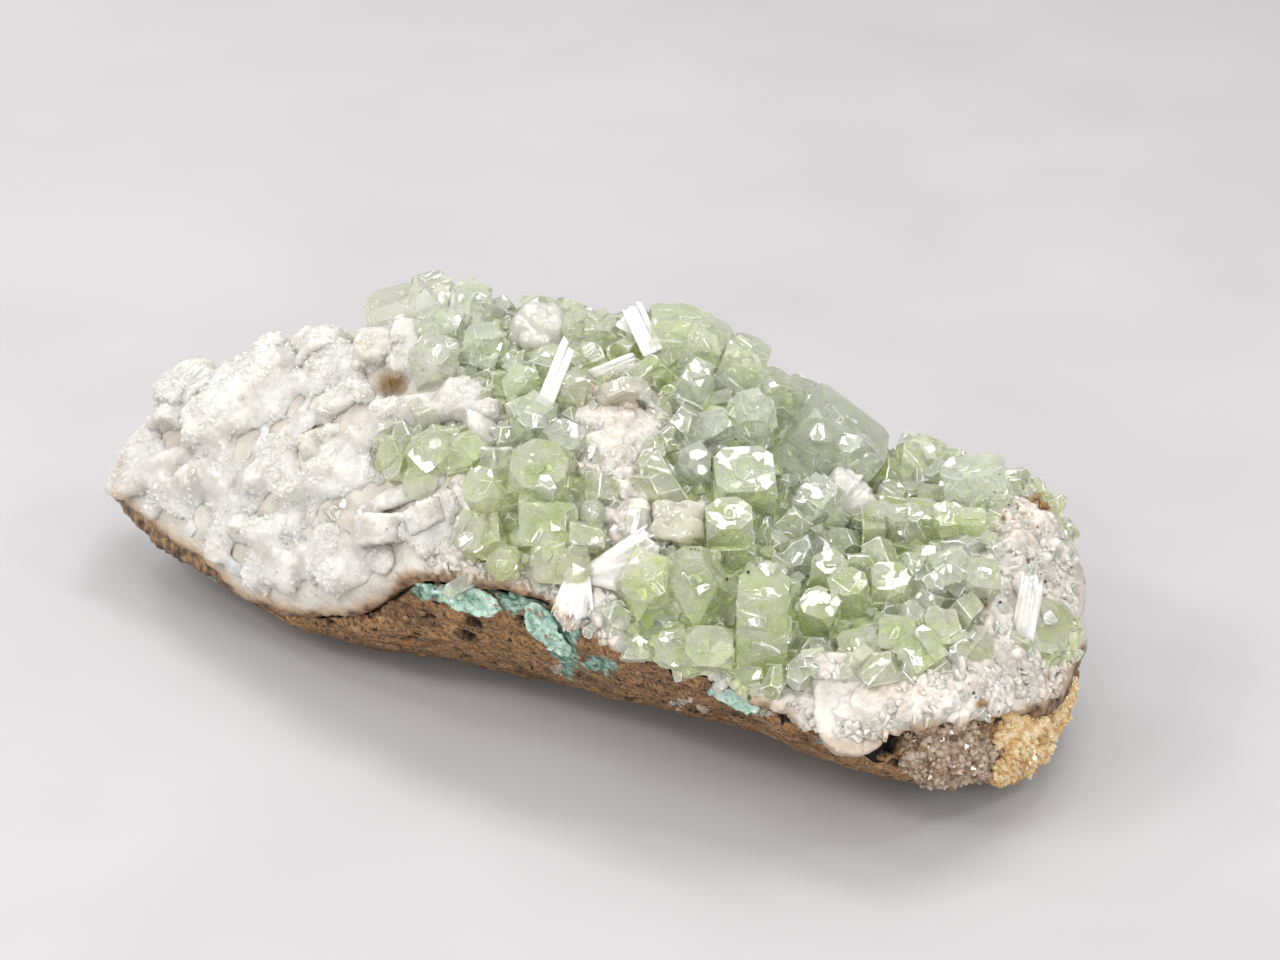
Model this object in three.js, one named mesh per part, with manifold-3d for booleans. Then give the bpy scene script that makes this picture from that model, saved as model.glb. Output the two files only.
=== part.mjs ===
// A cluster of green apophyllite crystals grown on white stilbite, still seated on the piece of basalt
// rind that lined the cavity. Millimetres, +Z up, +X along the specimen towards its thick broken end,
// -Y towards the low front rim. The rind rests on a worn flat under its keel, at z = 0.
import * as THREE from "three";
import { mergeVertices } from "three/addons/utils/BufferGeometryUtils.js";
import Module from "manifold-3d";

const wasm = await Module();
wasm.setup();

// ---- Driving dimensions -------------------------------------------------------------------------

const GAP = 0.35; // clearance between neighbouring pieces
const STATIONS = 25; // sections along each lofted body
const END_CROWDING = 0.1; // how much closer together the sections stand at the two ends
const PYRAMID_ANGLE = 60.4; // between the base of an apophyllite crystal and its pyramid faces, degrees
const ROOT = 5; // how far a crystal is carried down before the bed cuts it off, mm
const CRUST = 0.6; // thickness of the celadonite crusts
const DRUSE = 1.5; // thickness of the quartz druses
const LIP = 1.6; // how far the stilbite bed stands out over the rind at its rims
const BED_SAG = 9; // how far the rind's hollow dips below the line between its rims
const BED_BULGE = 1.6; // superellipse exponents of the bed's section, in front of and behind the ridge
const BACK_BULGE = 2.0;
const RIND_ROUGHNESS = 0.7;
const BED_ROUGHNESS = 1.1;

// The run of the specimen from its thin tip to its thick end: where the front rim, the ridge and the
// back rim of the crystal bed lie, and how low the keel of the rind would reach before it was worn flat.
const RUN = [
  // x, front y, front z, ridge y, ridge z, back y, back z, keel z, bulge of the underside
  [-82, 0, 10.5, 5, 15, 10, 13, 7.5, 1.7],
  [-75, -5, 9.5, 8, 24.5, 16, 16, 5, 1.7],
  [-62, -11, 9, 12, 32, 22, 20, 2.2, 1.7],
  [-50, -16, 8.5, 13, 35.5, 26, 23, 0, 1.7],
  [-38, -20, 10, 14, 41, 29, 25, -1.5, 1.7],
  [-28, -23, 13.5, 14, 44, 30, 26, -2, 1.7],
  [-20, -25, 18.5, 14, 43, 31, 26, -2, 1.7],
  [-14, -26, 24.5, 14, 43.5, 31, 26, -2, 1.7],
  [-5, -27.5, 26.5, 14, 44.5, 32, 26, -2, 1.7],
  [5, -28.5, 27.5, 14, 46.5, 32, 26, -2, 1.65],
  [13, -30, 26, 14, 44.5, 33, 26, -2, 1.55],
  [21, -31.5, 24, 14, 37.5, 33, 25, -2, 1.42],
  [30, -32, 23.5, 15, 33.5, 33, 25, -2, 1.36],
  [38, -32, 22.5, 16, 30, 33, 24, -2, 1.38],
  [46, -31.5, 19, 16, 28, 32, 23, -1.5, 1.48],
  [54, -30.5, 18, 16, 32, 30, 22, -1, 1.6],
  [61, -30, 20.5, 16, 32.5, 28, 21, -0.5, 1.7],
  [67, -25, 21.5, 13, 28, 22, 20, 1, 1.75],
  [71, -16, 19, 7, 23, 14, 19, 3.5, 1.8],
  [73.5, -8, 14, 1, 17, 7, 13.5, 7, 1.8],
];
const [TIP_X, END_X] = [RUN[0][0], RUN[RUN.length - 1][0]];

const COLOURS = {
  basalt: { color: 0x8a6a50, roughness: 0.92 },
  celadonite: { color: 0x7fb59a, roughness: 0.85 },
  druse: { color: 0x9a8878, roughness: 0.5 },
  quartz: { color: 0xc99a55, roughness: 0.45 },
  stilbite: { color: 0xf0ece4, roughness: 0.45 },
  peach: { color: 0xe0d2bf, roughness: 0.45 },
  apophyllite: { color: 0xbcd3a0, roughness: 0.15 },
  green: { color: 0x97b56a, roughness: 0.15 },
  clear: { color: 0xdbe5dc, roughness: 0.12 },
};

// ---- Helpers ------------------------------------------------------------------------------------

const runXs = RUN.map((row) => row[0]);
const runValues = RUN.flatMap((row) => row.slice(1));
const runCurve = new THREE.CubicInterpolant(runXs, runValues, RUN[0].length - 1);

function runAt(x) {
  const [frontY, frontZ, ridgeY, ridgeZ, backY, backZ, keelZ, bulge] = runCurve.evaluate(x);
  return { frontY, frontZ, ridgeY, ridgeZ, backY, backZ, keelZ, bulge };
}

const lerp = THREE.MathUtils.lerp;
const radians = THREE.MathUtils.degToRad;

// A smooth repeatable unevenness between -1 and 1, about 10 mm from lump to lump.
function lumps(x, y, z) {
  const broad = Math.sin(x * 0.31 + y * 0.23 + 1.3) * Math.cos(y * 0.37 - z * 0.29 + 0.4);
  const fine = Math.sin(x * 0.83 - z * 0.71) * Math.sin(y * 0.77 + z * 0.53 + 2.1);
  return 0.65 * broad + 0.35 * fine;
}

// A quarter of a superellipse: how far along each axis at angle 0..90 degrees.
function quarter(angle, bulge) {
  return [Math.cos(angle) ** (2 / bulge), Math.sin(angle) ** (2 / bulge)];
}

// Indexed geometry from rings of [y, z] points at given x, closed at both ends by a fan.
function loft(rings) {
  const count = rings[0].points.length;
  const positions = [];
  const index = [];
  for (const { x, points } of rings) for (const [y, z] of points) positions.push(x, y, z);
  const corner = (i) => new THREE.Vector3().fromArray(positions, 3 * i);
  const apart = (i, j) => corner(i).distanceTo(corner(j));
  for (let i = 0; i + 1 < rings.length; i++) {
    for (let j = 0; j < count; j++) {
      const [a, b] = [i * count + j, i * count + ((j + 1) % count)];
      const [c, d] = [a + count, b + count];
      // The shorter diagonal, so that two bodies that share a run of points also share their facets.
      if (apart(a, d) < apart(b, c)) index.push(a, c, d, a, d, b);
      else index.push(a, c, b, b, c, d);
    }
  }
  for (const [ring, flip] of [[0, false], [rings.length - 1, true]]) {
    const { x, points } = rings[ring];
    const y = points.reduce((sum, p) => sum + p[0], 0) / count;
    const z = points.reduce((sum, p) => sum + p[1], 0) / count;
    const centre = positions.length / 3;
    positions.push(x, y, z);
    for (let j = 0; j < count; j++) {
      const [a, b] = [ring * count + j, ring * count + ((j + 1) % count)];
      index.push(...(flip ? [centre, b, a] : [centre, a, b]));
    }
  }
  const geometry = new THREE.BufferGeometry();
  geometry.setAttribute("position", new THREE.Float32BufferAttribute(positions, 3));
  geometry.setIndex(index);
  return geometry;
}

// A manifold solid from a closed three.js geometry.
function solid(geometry) {
  const bare = geometry.clone();
  bare.deleteAttribute("normal");
  bare.deleteAttribute("uv");
  const merged = mergeVertices(bare, 1e-4);
  return new wasm.Manifold(
    new wasm.Mesh({
      numProp: 3,
      vertProperties: new Float32Array(merged.attributes.position.array),
      triVerts: new Uint32Array(merged.index.array),
    }),
  );
}

function geometryOf(made) {
  const mesh = made.getMesh();
  const geometry = new THREE.BufferGeometry();
  geometry.setAttribute("position", new THREE.BufferAttribute(mesh.vertProperties, 3));
  geometry.setIndex(new THREE.BufferAttribute(mesh.triVerts, 1));
  return geometry;
}

const joined = (parts) => parts.reduce((all, part) => all.add(part));
const largest = (made) => made.decompose().sort((a, b) => b.volume() - a.volume())[0];

// ---- Bodies lofted along the specimen -------------------------------------------------------------

// The hollow of the rind, from the front rim (side -1) to the back rim (side 1).
const hollowSides = [-1, -0.75, -0.5, -0.25, 0, 0.25, 0.5, 0.75, 1];

function hollow(x, side, lift) {
  const run = runAt(x);
  const share = (side + 1) / 2;
  const sag = BED_SAG * (1 - side * side) * Math.min(1, (run.frontZ - run.keelZ) / 20);
  return [lerp(run.frontY, run.backY, share), lerp(run.frontZ, run.backZ, share) - sag + lift];
}

const stations = Array.from({ length: STATIONS }, (_, i) => {
  const share = i / (STATIONS - 1);
  return lerp(TIP_X, END_X, share - END_CROWDING * Math.sin(2 * Math.PI * share));
});

// The outside of the rind, under the specimen from the front rim to the back rim.
function underside(x, grow) {
  const run = runAt(x);
  const [frontDepth, backDepth] = [run.frontZ - run.keelZ, run.backZ - run.keelZ];
  const middle = (run.frontY + run.backY) / 2;
  const points = [];
  const steps = 6;
  for (let i = 0; i <= 2 * steps; i++) {
    const front = i <= steps;
    const angle = ((front ? i : 2 * steps - i) / steps) * (Math.PI / 2);
    const [out, down] = quarter(angle, run.bulge);
    const rimY = front ? run.frontY : run.backY;
    const rough = RIND_ROUGHNESS * lumps(x, i * 4, 5) * Math.min(1, i, 2 * steps - i);
    const reach = 1 + (grow + rough) / Math.abs(rimY - middle);
    const y = middle + (rimY - middle) * out * reach;
    const rimZ = front ? run.frontZ : run.backZ;
    const z = rimZ - (front ? frontDepth : backDepth) * down - grow * down;
    points.push([y, Math.max(z, 0)]);
  }
  return points;
}

function rindRing(x, grow = 0) {
  const inner = hollowSides.slice(1, -1).reverse();
  return [...underside(x, grow), ...inner.map((side) => hollow(x, side, 0))];
}

// The top of the stilbite bed, from the back rim over the ridge to the front rim.
function bedTop(x, grow) {
  const run = runAt(x);
  const points = [];
  const backSteps = 5;
  const frontSteps = 9;
  const end = Math.min(1, (x - TIP_X) / 8, (END_X - x) / 6 + 0.3);
  for (let i = -backSteps; i <= frontSteps; i++) {
    const front = i >= 0;
    const angle = (1 - Math.abs(i) / (front ? frontSteps : backSteps)) * (Math.PI / 2);
    const [out, up] = quarter(angle, front ? BED_BULGE : BACK_BULGE);
    const rimY = front ? run.frontY - LIP : run.backY + LIP;
    const rimZ = (front ? run.frontZ : run.backZ) + GAP;
    const rough = BED_ROUGHNESS * lumps(x * 1.2, i * 3.3, 9) * up * end;
    const y = run.ridgeY + (rimY - run.ridgeY) * out + Math.sign(rimY) * grow * out;
    points.push([y, lerp(rimZ, run.ridgeZ, up) + rough + grow * up]);
  }
  return points;
}

function bedRing(x, grow = 0) {
  return [...bedTop(x, grow), ...hollowSides.map((side) => hollow(x, side, GAP))];
}

function lofted(ring, grow = 0, lift = 0) {
  const rings = stations.map((x) => ({ x, points: ring(x, grow).reverse() }));
  return solid(loft(rings).translate(0, 0, lift));
}

// What a neighbour of the bed or the rind is cut with, so that it keeps its distance.
const roomAround = (ring, lift) => joined([lofted(ring), lofted(ring, GAP), lofted(ring, 0, lift)]);
const bedRoom = roomAround(bedRing, -GAP);
const rindRoom = roomAround(rindRing, GAP);

// ---- Pieces grown on the bed ----------------------------------------------------------------------

// Turned about its own axis, tipped by `lean` degrees towards the compass direction `toward` (0 is +X,
// 90 is +Y), and set down at `at`.
function placing({ at, turn = 0, lean = 0, toward = 0 }) {
  const sideways = radians(toward + 90);
  const hinge = new THREE.Vector3(Math.cos(sideways), Math.sin(sideways), 0);
  const tipped = new THREE.Quaternion().setFromAxisAngle(hinge, radians(lean));
  const turned = new THREE.Quaternion().setFromAxisAngle(new THREE.Vector3(0, 0, 1), radians(turn));
  return new THREE.Matrix4().compose(
    new THREE.Vector3(...at),
    tipped.multiply(turned),
    new THREE.Vector3(1, 1, 1),
  );
}

const placed = (made, row) => solid(geometryOf(made).applyMatrix4(placing(row)));

// An apophyllite crystal: a square prism with a pyramid face on each upper corner. With a cut of 0 the
// top is a whole square, with 0.5 a diamond, and from 1 the faces meet in a point.
function crystal(row, grow = 0) {
  const [width, depth, height] = row.size;
  const [halfWidth, halfDepth, top] = [width / 2 + grow, depth / 2 + grow, height + grow];
  const box = new THREE.BoxGeometry(2 * halfWidth, 2 * halfDepth, top + ROOT);
  let made = solid(box.translate(0, 0, (top - ROOT) / 2));
  const out = Math.sin(radians(PYRAMID_ANGLE)) / Math.SQRT2;
  const up = Math.cos(radians(PYRAMID_ANGLE));
  const inset = (row.cut * (width + depth)) / 2;
  const reach = out * ((width + depth) / 2 - inset) + up * height + grow;
  for (const [x, y] of [[1, 1], [1, -1], [-1, 1], [-1, -1]]) {
    made = made.trimByPlane([-x * out, -y * out, -up], -reach);
  }
  return placed(made, row);
}

// A stilbite blade: a flat plate with a rounded head, standing on its narrow end.
function blade(row, grow = 0) {
  const [width, thick, height] = row.size;
  const radius = width / 2 + grow;
  const outline = new THREE.Shape();
  outline.moveTo(-radius, -ROOT);
  outline.lineTo(radius, -ROOT);
  outline.lineTo(radius, height - radius);
  outline.absarc(0, height - radius, radius, 0, Math.PI, false);
  const plate = new THREE.ExtrudeGeometry(outline, {
    depth: thick + 2 * grow,
    bevelEnabled: false,
    curveSegments: 4,
  });
  plate.translate(0, 0, -thick / 2 - grow).rotateX(Math.PI / 2);
  return solid(plate.applyMatrix4(placing(row)));
}

// A ball of stilbite, flattened as its size says.
function ball(row, grow = 0) {
  const [width, depth, height] = row.size;
  const sphere = new THREE.SphereGeometry(1, 9, 6).rotateX(Math.PI / 2);
  sphere.scale(width / 2 + grow, depth / 2 + grow, height / 2 + grow);
  return solid(sphere.applyMatrix4(placing(row)));
}

// A sheaf of stilbite fibres: a fan that spreads from its waist by `spread` degrees to either side.
function fan(row, grow = 0) {
  const [length, thick, spread] = row.size;
  const outline = new THREE.Shape();
  const half = radians(spread);
  outline.moveTo(-1.2 - grow, -ROOT);
  outline.lineTo(1.2 + grow, -ROOT);
  outline.absarc(0, 0, length + grow, Math.PI / 2 - half, Math.PI / 2 + half, false);
  const plate = new THREE.ExtrudeGeometry(outline, {
    depth: thick + 2 * grow,
    bevelEnabled: false,
    curveSegments: 4,
  });
  plate.translate(0, 0, -thick / 2 - grow).rotateX(Math.PI / 2);
  return solid(plate.applyMatrix4(placing(row)));
}

// Each piece is one growth of one or more crystals that run into each other. The earlier ones keep
// their whole shape, and the later ones stop short of them.
const PIECES = [
  // The summit on the left of the green crystals, and what grows below it.
  ["summit_crystals", crystal, "clear", [
    { at: [-38.4, 15.5, 39.8], size: [7.6, 7, 7.4], turn: 20, lean: 18, toward: 205, cut: 0.2 },
    { at: [-33.2, 16, 41.8], size: [6.4, 6.4, 8.8], turn: 5, lean: 4, toward: 200, cut: 0.5 },
    { at: [-28.8, 16.5, 41.8], size: [6.2, 6, 8.4], turn: 30, lean: 10, toward: 20, cut: 0.55 },
    { at: [-30.5, 11.5, 42.5], size: [6.5, 6, 4.6], turn: 10, lean: 20, toward: -60, cut: 0.3 },
  ]],
  ["upper_left_crystals", crystal, "clear", [
    { at: [-26.5, 4, 41.2], size: [7, 6.6, 7.4], turn: 35, lean: 40, toward: -75, cut: 0.5 },
    { at: [-21.5, 7.5, 42.4], size: [5.2, 5, 6], turn: 10, lean: 15, toward: -30, cut: 0.45 },
  ]],
  ["ridge_ball", ball, "peach", [
    { at: [-15.4, 15.5, 45.2], size: [8.8, 8.4, 9.4] },
  ]],
  ["tall_lath", blade, "stilbite", [
    { at: [-5.8, 3.2, 43], size: [2.6, 1.5, 11], turn: 25, lean: 22, toward: 25 },
  ]],
  ["twin_laths", blade, "stilbite", [
    { at: [0.6, 16, 44.6], size: [2.6, 1.5, 9.2], turn: 25, lean: 18, toward: 200 },
    { at: [2.4, 15.4, 44.6], size: [2.4, 1.4, 7.6], turn: 15, lean: 12, toward: 200 },
  ]],
  ["lying_lath", blade, "stilbite", [
    { at: [-1.2, 7.5, 45.6], size: [2.8, 1.6, 8], turn: -60, lean: 72, toward: 25 },
  ]],
  ["left_ridge_crystals", crystal, "apophyllite", [
    { at: [-8.5, 16, 44.2], size: [5, 5, 5.2], turn: 15, lean: 8, toward: 200, cut: 0.5 },
    { at: [-5, 15, 44.5], size: [5.4, 5, 5.4], turn: 35, lean: 10, toward: -60, cut: 0.4 },
  ]],
  ["middle_ridge_crystals", crystal, "apophyllite", [
    { at: [5.8, 15.5, 45.5], size: [7, 6.4, 7], turn: 28, lean: 6, toward: 25, cut: 0.15 },
    { at: [10.6, 15, 44.5], size: [5.6, 6, 7.4], turn: 5, lean: 18, toward: 25, cut: 0.3 },
  ]],
  ["right_ridge_crystals", crystal, "apophyllite", [
    { at: [15.6, 15.5, 42], size: [6.4, 6, 8], turn: 20, lean: 20, toward: 25, cut: 0.3 },
    { at: [20, 15, 38.6], size: [5.4, 5.6, 7.4], turn: 40, lean: 28, toward: 25, cut: 0.35 },
  ]],
  ["left_shoulder_crystal", crystal, "apophyllite", [
    { at: [-10, -0.5, 42], size: [5, 4.8, 6], turn: 40, lean: 25, toward: -80, cut: 0.5 },
  ]],
  ["right_shoulder_crystal", crystal, "apophyllite", [
    { at: [-2, -1.5, 43], size: [4.6, 4.6, 6.6], turn: 10, lean: 22, toward: -60, cut: 0.6 },
  ]],
  ["beige_blades", blade, "peach", [
    { at: [5, 1, 44.6], size: [7.4, 2.4, 6.4], turn: 35, lean: 45, toward: -60 },
  ]],
  ["upper_column", crystal, "clear", [
    { at: [13, 7.5, 43.6], size: [4.4, 4.4, 7.4], turn: 0, lean: 30, toward: -50, cut: 0.6 },
  ]],
  // The green crystals of the middle.
  ["left_nest_crystals", crystal, "green", [
    { at: [-18, -12, 35.6], size: [6.8, 6.4, 7], turn: 15, lean: 50, toward: -80, cut: 0.45 },
    { at: [-22.8, -11.5, 33.8], size: [5.6, 5.4, 5.6], turn: 40, lean: 55, toward: -110, cut: 0.4 },
    { at: [-13.4, -13, 37], size: [5.4, 5.4, 6], turn: 30, lean: 42, toward: -50, cut: 0.5 },
    { at: [-18.2, -14.8, 33.6], size: [5, 5, 5.4], turn: 5, lean: 65, toward: -80, cut: 0.35 },
  ]],
  ["white_ball", ball, "stilbite", [
    { at: [-13.4, -5.4, 41.4], size: [4.8, 4.4, 4.2] },
  ]],
  ["centre_back_crystals", crystal, "clear", [
    { at: [-4.6, -7, 41], size: [6.6, 6.2, 6.2], turn: 20, lean: 30, toward: -80, cut: 0.5 },
    { at: [1, -11, 40.5], size: [5.4, 5, 5.8], turn: 45, lean: 35, toward: -50, cut: 0.4 },
  ]],
  ["centre_block", crystal, "green", [
    { at: [1.6, -17.6, 38], size: [8, 7.6, 8.4], turn: 12, lean: 38, toward: -72, cut: 0.32 },
    { at: [4.2, -22.4, 34.4], size: [7, 6.2, 6.8], turn: 22, lean: 55, toward: -66, cut: 0.12 },
    { at: [-3.2, -20.6, 35.4], size: [5, 5.6, 7.6], turn: 30, lean: 42, toward: -110, cut: 0.3 },
    { at: [7.6, -25.6, 32], size: [7.6, 5, 5.6], turn: 24, lean: 70, toward: -60, cut: 0.15 },
  ]],
  ["round_crystal", ball, "clear", [
    { at: [10.8, -21.4, 37.4], size: [4.2, 4.4, 6.4], lean: 30, toward: -65 },
  ]],
  ["low_left_crystals", crystal, "green", [
    { at: [-3.2, -24.8, 32.6], size: [5.6, 5.4, 6], turn: 40, lean: 60, toward: -100, cut: 0.45 },
    { at: [0.8, -26.8, 31], size: [4.6, 4.6, 4.6], turn: 10, lean: 70, toward: -80, cut: 0.4 },
  ]],
  ["rim_sheaf", fan, "stilbite", [
    { at: [12.6, -26.4, 31.6], size: [12, 4, 22], turn: 0, lean: 72, toward: 12 },
  ]],
  ["hanging_fan", fan, "stilbite", [
    { at: [11.6, -27.6, 31.6], size: [9, 3.6, 34], turn: 90, lean: 150, toward: -80 },
  ]],
  ["front_pyramids", crystal, "green", [
    { at: [28, -25, 28.6], size: [9, 8.6, 11], turn: -20, lean: 16, toward: -70, cut: 0.8 },
    { at: [22.4, -26.4, 28.4], size: [7.8, 7.6, 9], turn: -40, lean: 24, toward: -80, cut: 0.55 },
  ]],
  ["rim_crystals", crystal, "green", [
    { at: [27.4, -30.6, 26.4], size: [4.8, 4.8, 4.6], turn: 45, lean: 74, toward: -65, cut: 0.35 },
    { at: [33, -30.4, 26], size: [6.4, 5.6, 5.4], turn: 20, lean: 52, toward: -70, cut: 0.3 },
    { at: [21.6, -31, 26.6], size: [4.8, 4.6, 4], turn: 10, lean: 60, toward: -85, cut: 0.4 },
  ]],
  ["front_column", crystal, "green", [
    { at: [39.2, -26.6, 24], size: [6.8, 6.6, 14], turn: 18, lean: 12, toward: -70, cut: 0.28 },
  ]],
  ["middle_block", crystal, "apophyllite", [
    { at: [25, -2, 33.6], size: [8.4, 7.6, 9], turn: 30, lean: 30, toward: -62, cut: 0.2 },
  ]],
  ["middle_round_crystal", crystal, "clear", [
    { at: [18.8, -4, 37], size: [4.8, 4.8, 7], turn: 10, lean: 28, toward: -65, cut: 0.6 },
  ]],
  ["beige_block", crystal, "peach", [
    { at: [20.6, -13.6, 34], size: [7, 5.4, 5.6], turn: 25, lean: 48, toward: -66, cut: 0.12 },
  ]],
  ["middle_lower_crystal", crystal, "green", [
    { at: [28, -13.4, 31], size: [6.4, 6, 9.4], turn: 28, lean: 20, toward: -66, cut: 0.3 },
  ]],
  ["barrel_crystal", crystal, "clear", [
    { at: [21.4, 7.6, 37], size: [6, 5.6, 10.4], turn: 5, lean: 14, toward: -40, cut: 0.7 },
  ]],
  // The right-hand half.
  ["great_slab", crystal, "clear", [
    { at: [28.6, 13.6, 32.6], size: [13, 10, 10.6], turn: 18, lean: 38, toward: 15, cut: 0.1 },
  ]],
  ["grey_crystal", crystal, "clear", [
    { at: [22.6, 22, 35], size: [5.8, 5.4, 7], turn: 40, lean: 8, toward: 20, cut: 0.5 },
  ]],
  ["right_sheaf", fan, "stilbite", [
    { at: [36, 7.4, 31], size: [8, 3.6, 26], turn: 25, lean: 50, toward: 60 },
  ]],
  ["right_round_crystal", crystal, "clear", [
    { at: [34.6, 3.6, 31], size: [6.6, 6.4, 6.6], turn: 30, lean: 28, toward: -70, cut: 0.5 },
  ]],
  ["right_small_crystals", crystal, "green", [
    { at: [41.4, 13.4, 28.6], size: [4.4, 4.4, 4.4], turn: 10, lean: 18, toward: -60, cut: 0.3 },
    { at: [44.4, 15.6, 28.2], size: [4.6, 4.2, 4], turn: 35, lean: 6, toward: 20, cut: 0.25 },
    { at: [47.8, 14.4, 28.8], size: [5, 4.6, 4.2], turn: 20, lean: 15, toward: -50, cut: 0.3 },
  ]],
  ["pale_right_crystal", crystal, "clear", [
    { at: [55, 15.2, 30.8], size: [9, 7.2, 7.4], turn: 22, lean: 12, toward: 200, cut: 0.28 },
  ]],
  ["prism_row", crystal, "green", [
    { at: [43.4, 4, 28], size: [3.6, 3.6, 7], turn: 25, lean: 12, toward: -65, cut: 0.15 },
    { at: [46.6, 4.6, 28.6], size: [3.8, 3.6, 6.4], turn: 30, lean: 16, toward: -65, cut: 0.2 },
    { at: [49.8, 5.2, 29.6], size: [3.8, 3.8, 6], turn: 20, lean: 14, toward: -65, cut: 0.15 },
    { at: [53.2, 5.4, 30.6], size: [4, 3.8, 5.6], turn: 28, lean: 18, toward: -65, cut: 0.2 },
    { at: [56.8, 5.4, 31], size: [3.8, 3.6, 5], turn: 22, lean: 16, toward: -60, cut: 0.15 },
  ]],
  ["sparkling_pair", crystal, "apophyllite", [
    { at: [57.2, -6.6, 30], size: [5.2, 5, 6.4], turn: 50, lean: 36, toward: -50, cut: 0.05 },
    { at: [61.4, -6.4, 29.8], size: [4.6, 4.6, 6], turn: 30, lean: 36, toward: -40, cut: 0.1 },
  ]],
  ["upright_blade", blade, "stilbite", [
    { at: [66.6, -2, 25.6], size: [3.4, 1.8, 9], turn: 25, lean: 18, toward: -10 },
  ]],
  ["end_crystals", crystal, "green", [
    { at: [67, 1, 20.6], size: [7.4, 7, 6.4], turn: 20, lean: 48, toward: -30, cut: 0.14 },
  ]],
  ["rim_cubes", crystal, "green", [
    { at: [60.4, -16, 27.6], size: [4.8, 4.6, 4], turn: 35, lean: 40, toward: -60, cut: 0.1 },
    { at: [59, -20.6, 26.2], size: [5, 4.8, 4], turn: 60, lean: 50, toward: -65, cut: 0.08 },
    { at: [54.8, -18.4, 26.2], size: [5, 5, 4.6], turn: 20, lean: 40, toward: -60, cut: 0.12 },
    { at: [50.6, -20.6, 24.6], size: [5.4, 5, 5], turn: 40, lean: 44, toward: -66, cut: 0.15 },
  ]],
  ["hollow_crystals", crystal, "green", [
    { at: [41.8, -10.4, 27.2], size: [5, 4.8, 6.4], turn: 15, lean: 18, toward: -60, cut: 0.4 },
    { at: [45.6, -12.4, 26], size: [5.4, 5, 6.6], turn: 35, lean: 20, toward: -70, cut: 0.3 },
    { at: [50.2, -9.4, 27], size: [5, 5, 6], turn: 25, lean: 22, toward: -60, cut: 0.2 },
    { at: [43.4, -17.4, 25.4], size: [5.2, 5, 6.4], turn: 0, lean: 26, toward: -66, cut: 0.25 },
  ]],
  ["rim_plate", blade, "stilbite", [
    { at: [52.6, -27.4, 23], size: [10.4, 4.2, 8.6], turn: 25, lean: 146, toward: -65 },
  ]],
  // The white, bladed left-hand half.
  ["left_ball", ball, "stilbite", [
    { at: [-59.4, 11, 35], size: [6.6, 6.2, 6.2] },
  ]],
  ["ridge_blades", blade, "stilbite", [
    { at: [-49, 10, 35], size: [8.6, 4.6, 6.6], turn: 20, lean: 10, toward: -80 },
    { at: [-52, 12, 35], size: [5.6, 4.2, 5], turn: 50, lean: 16, toward: 200 },
  ]],
  ["pale_block", crystal, "peach", [
    { at: [-37, 7, 37.4], size: [8, 6.4, 7], turn: 22, lean: 14, toward: -90, cut: 0.3 },
  ]],
  ["pale_blades", blade, "peach", [
    { at: [-38.4, -7, 31], size: [7, 3, 8.4], turn: -20, lean: 68, toward: 20 },
    { at: [-30.6, -9, 32.2], size: [6, 3, 7], turn: 10, lean: 60, toward: 0 },
  ]],
  ["lower_blades", blade, "stilbite", [
    { at: [-20.6, -20, 27.4], size: [8, 4, 8], turn: 10, lean: 62, toward: -100 },
    { at: [-16, -20.4, 30], size: [6.6, 3.4, 7.4], turn: 50, lean: 50, toward: -60 },
  ]],
  ["long_blade", blade, "stilbite", [
    { at: [-47, -15, 19.6], size: [4.4, 3, 13], turn: 90, lean: 84, toward: -12 },
  ]],
  ["left_blades", blade, "stilbite", [
    { at: [-66, 4.4, 27], size: [8.4, 5, 6], turn: 40, lean: 22, toward: 200 },
    { at: [-71, 2.4, 23.6], size: [7, 5, 5.4], turn: 0, lean: 35, toward: 220 },
  ]],
  // The hidden slope behind the ridge.
  ["back_left_crystals", crystal, "apophyllite", [
    { at: [-22, 26, 38], size: [7, 6.6, 6.6], turn: 20, lean: 45, toward: 95, cut: 0.4 },
    { at: [-16.6, 25.4, 39.4], size: [6, 5.6, 6], turn: 45, lean: 40, toward: 80, cut: 0.3 },
  ]],
  ["back_middle_crystals", crystal, "green", [
    { at: [2, 26, 40], size: [7.4, 7, 7.6], turn: 10, lean: 42, toward: 90, cut: 0.35 },
    { at: [8, 27.4, 38], size: [6.4, 6, 6], turn: 35, lean: 52, toward: 75, cut: 0.45 },
  ]],
  ["back_right_crystals", crystal, "apophyllite", [
    { at: [40, 27.6, 27.4], size: [6.6, 6.4, 6], turn: 25, lean: 40, toward: 90, cut: 0.3 },
    { at: [46, 26.6, 26.8], size: [5.6, 5.4, 6], turn: 0, lean: 38, toward: 80, cut: 0.4 },
  ]],
];

// ---- Hollows in the rind and crusts on it -----------------------------------------------------------

// Gas cavities that open on the outside of the rind.
const VUGS = [
  { at: [60.6, -29, 17.8], size: [6.4, 7, 4.4], turn: 30, lean: 20, toward: 200 },
  { at: [-72.4, -5.4, 10], size: [5.6, 4, 3.4] },
];

// A crust follows the rind's outside, as far as its blot reaches.
const CRUSTS = [
  ["left_celadonite", "celadonite", CRUST, { at: [-8, -27, 24.4], size: [17, 8, 6.4], lean: 8 }],
  ["middle_celadonite", "celadonite", CRUST,
    { at: [7, -28, 21.6], size: [7, 8, 11], lean: 20, toward: 180 }],
  ["right_celadonite", "celadonite", CRUST, { at: [37, -31, 20.6], size: [9, 6, 4.6], lean: 10 }],
  ["grey_druse", "druse", DRUSE, { at: [66, -22.4, 13.4], size: [9, 12, 12], turn: 40 }],
  ["golden_druse", "quartz", DRUSE, { at: [71.4, -9, 9.6], size: [12, 15, 15] }],
];

// ---- The assembled specimen -----------------------------------------------------------------------

const specimen = new THREE.Group();

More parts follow.
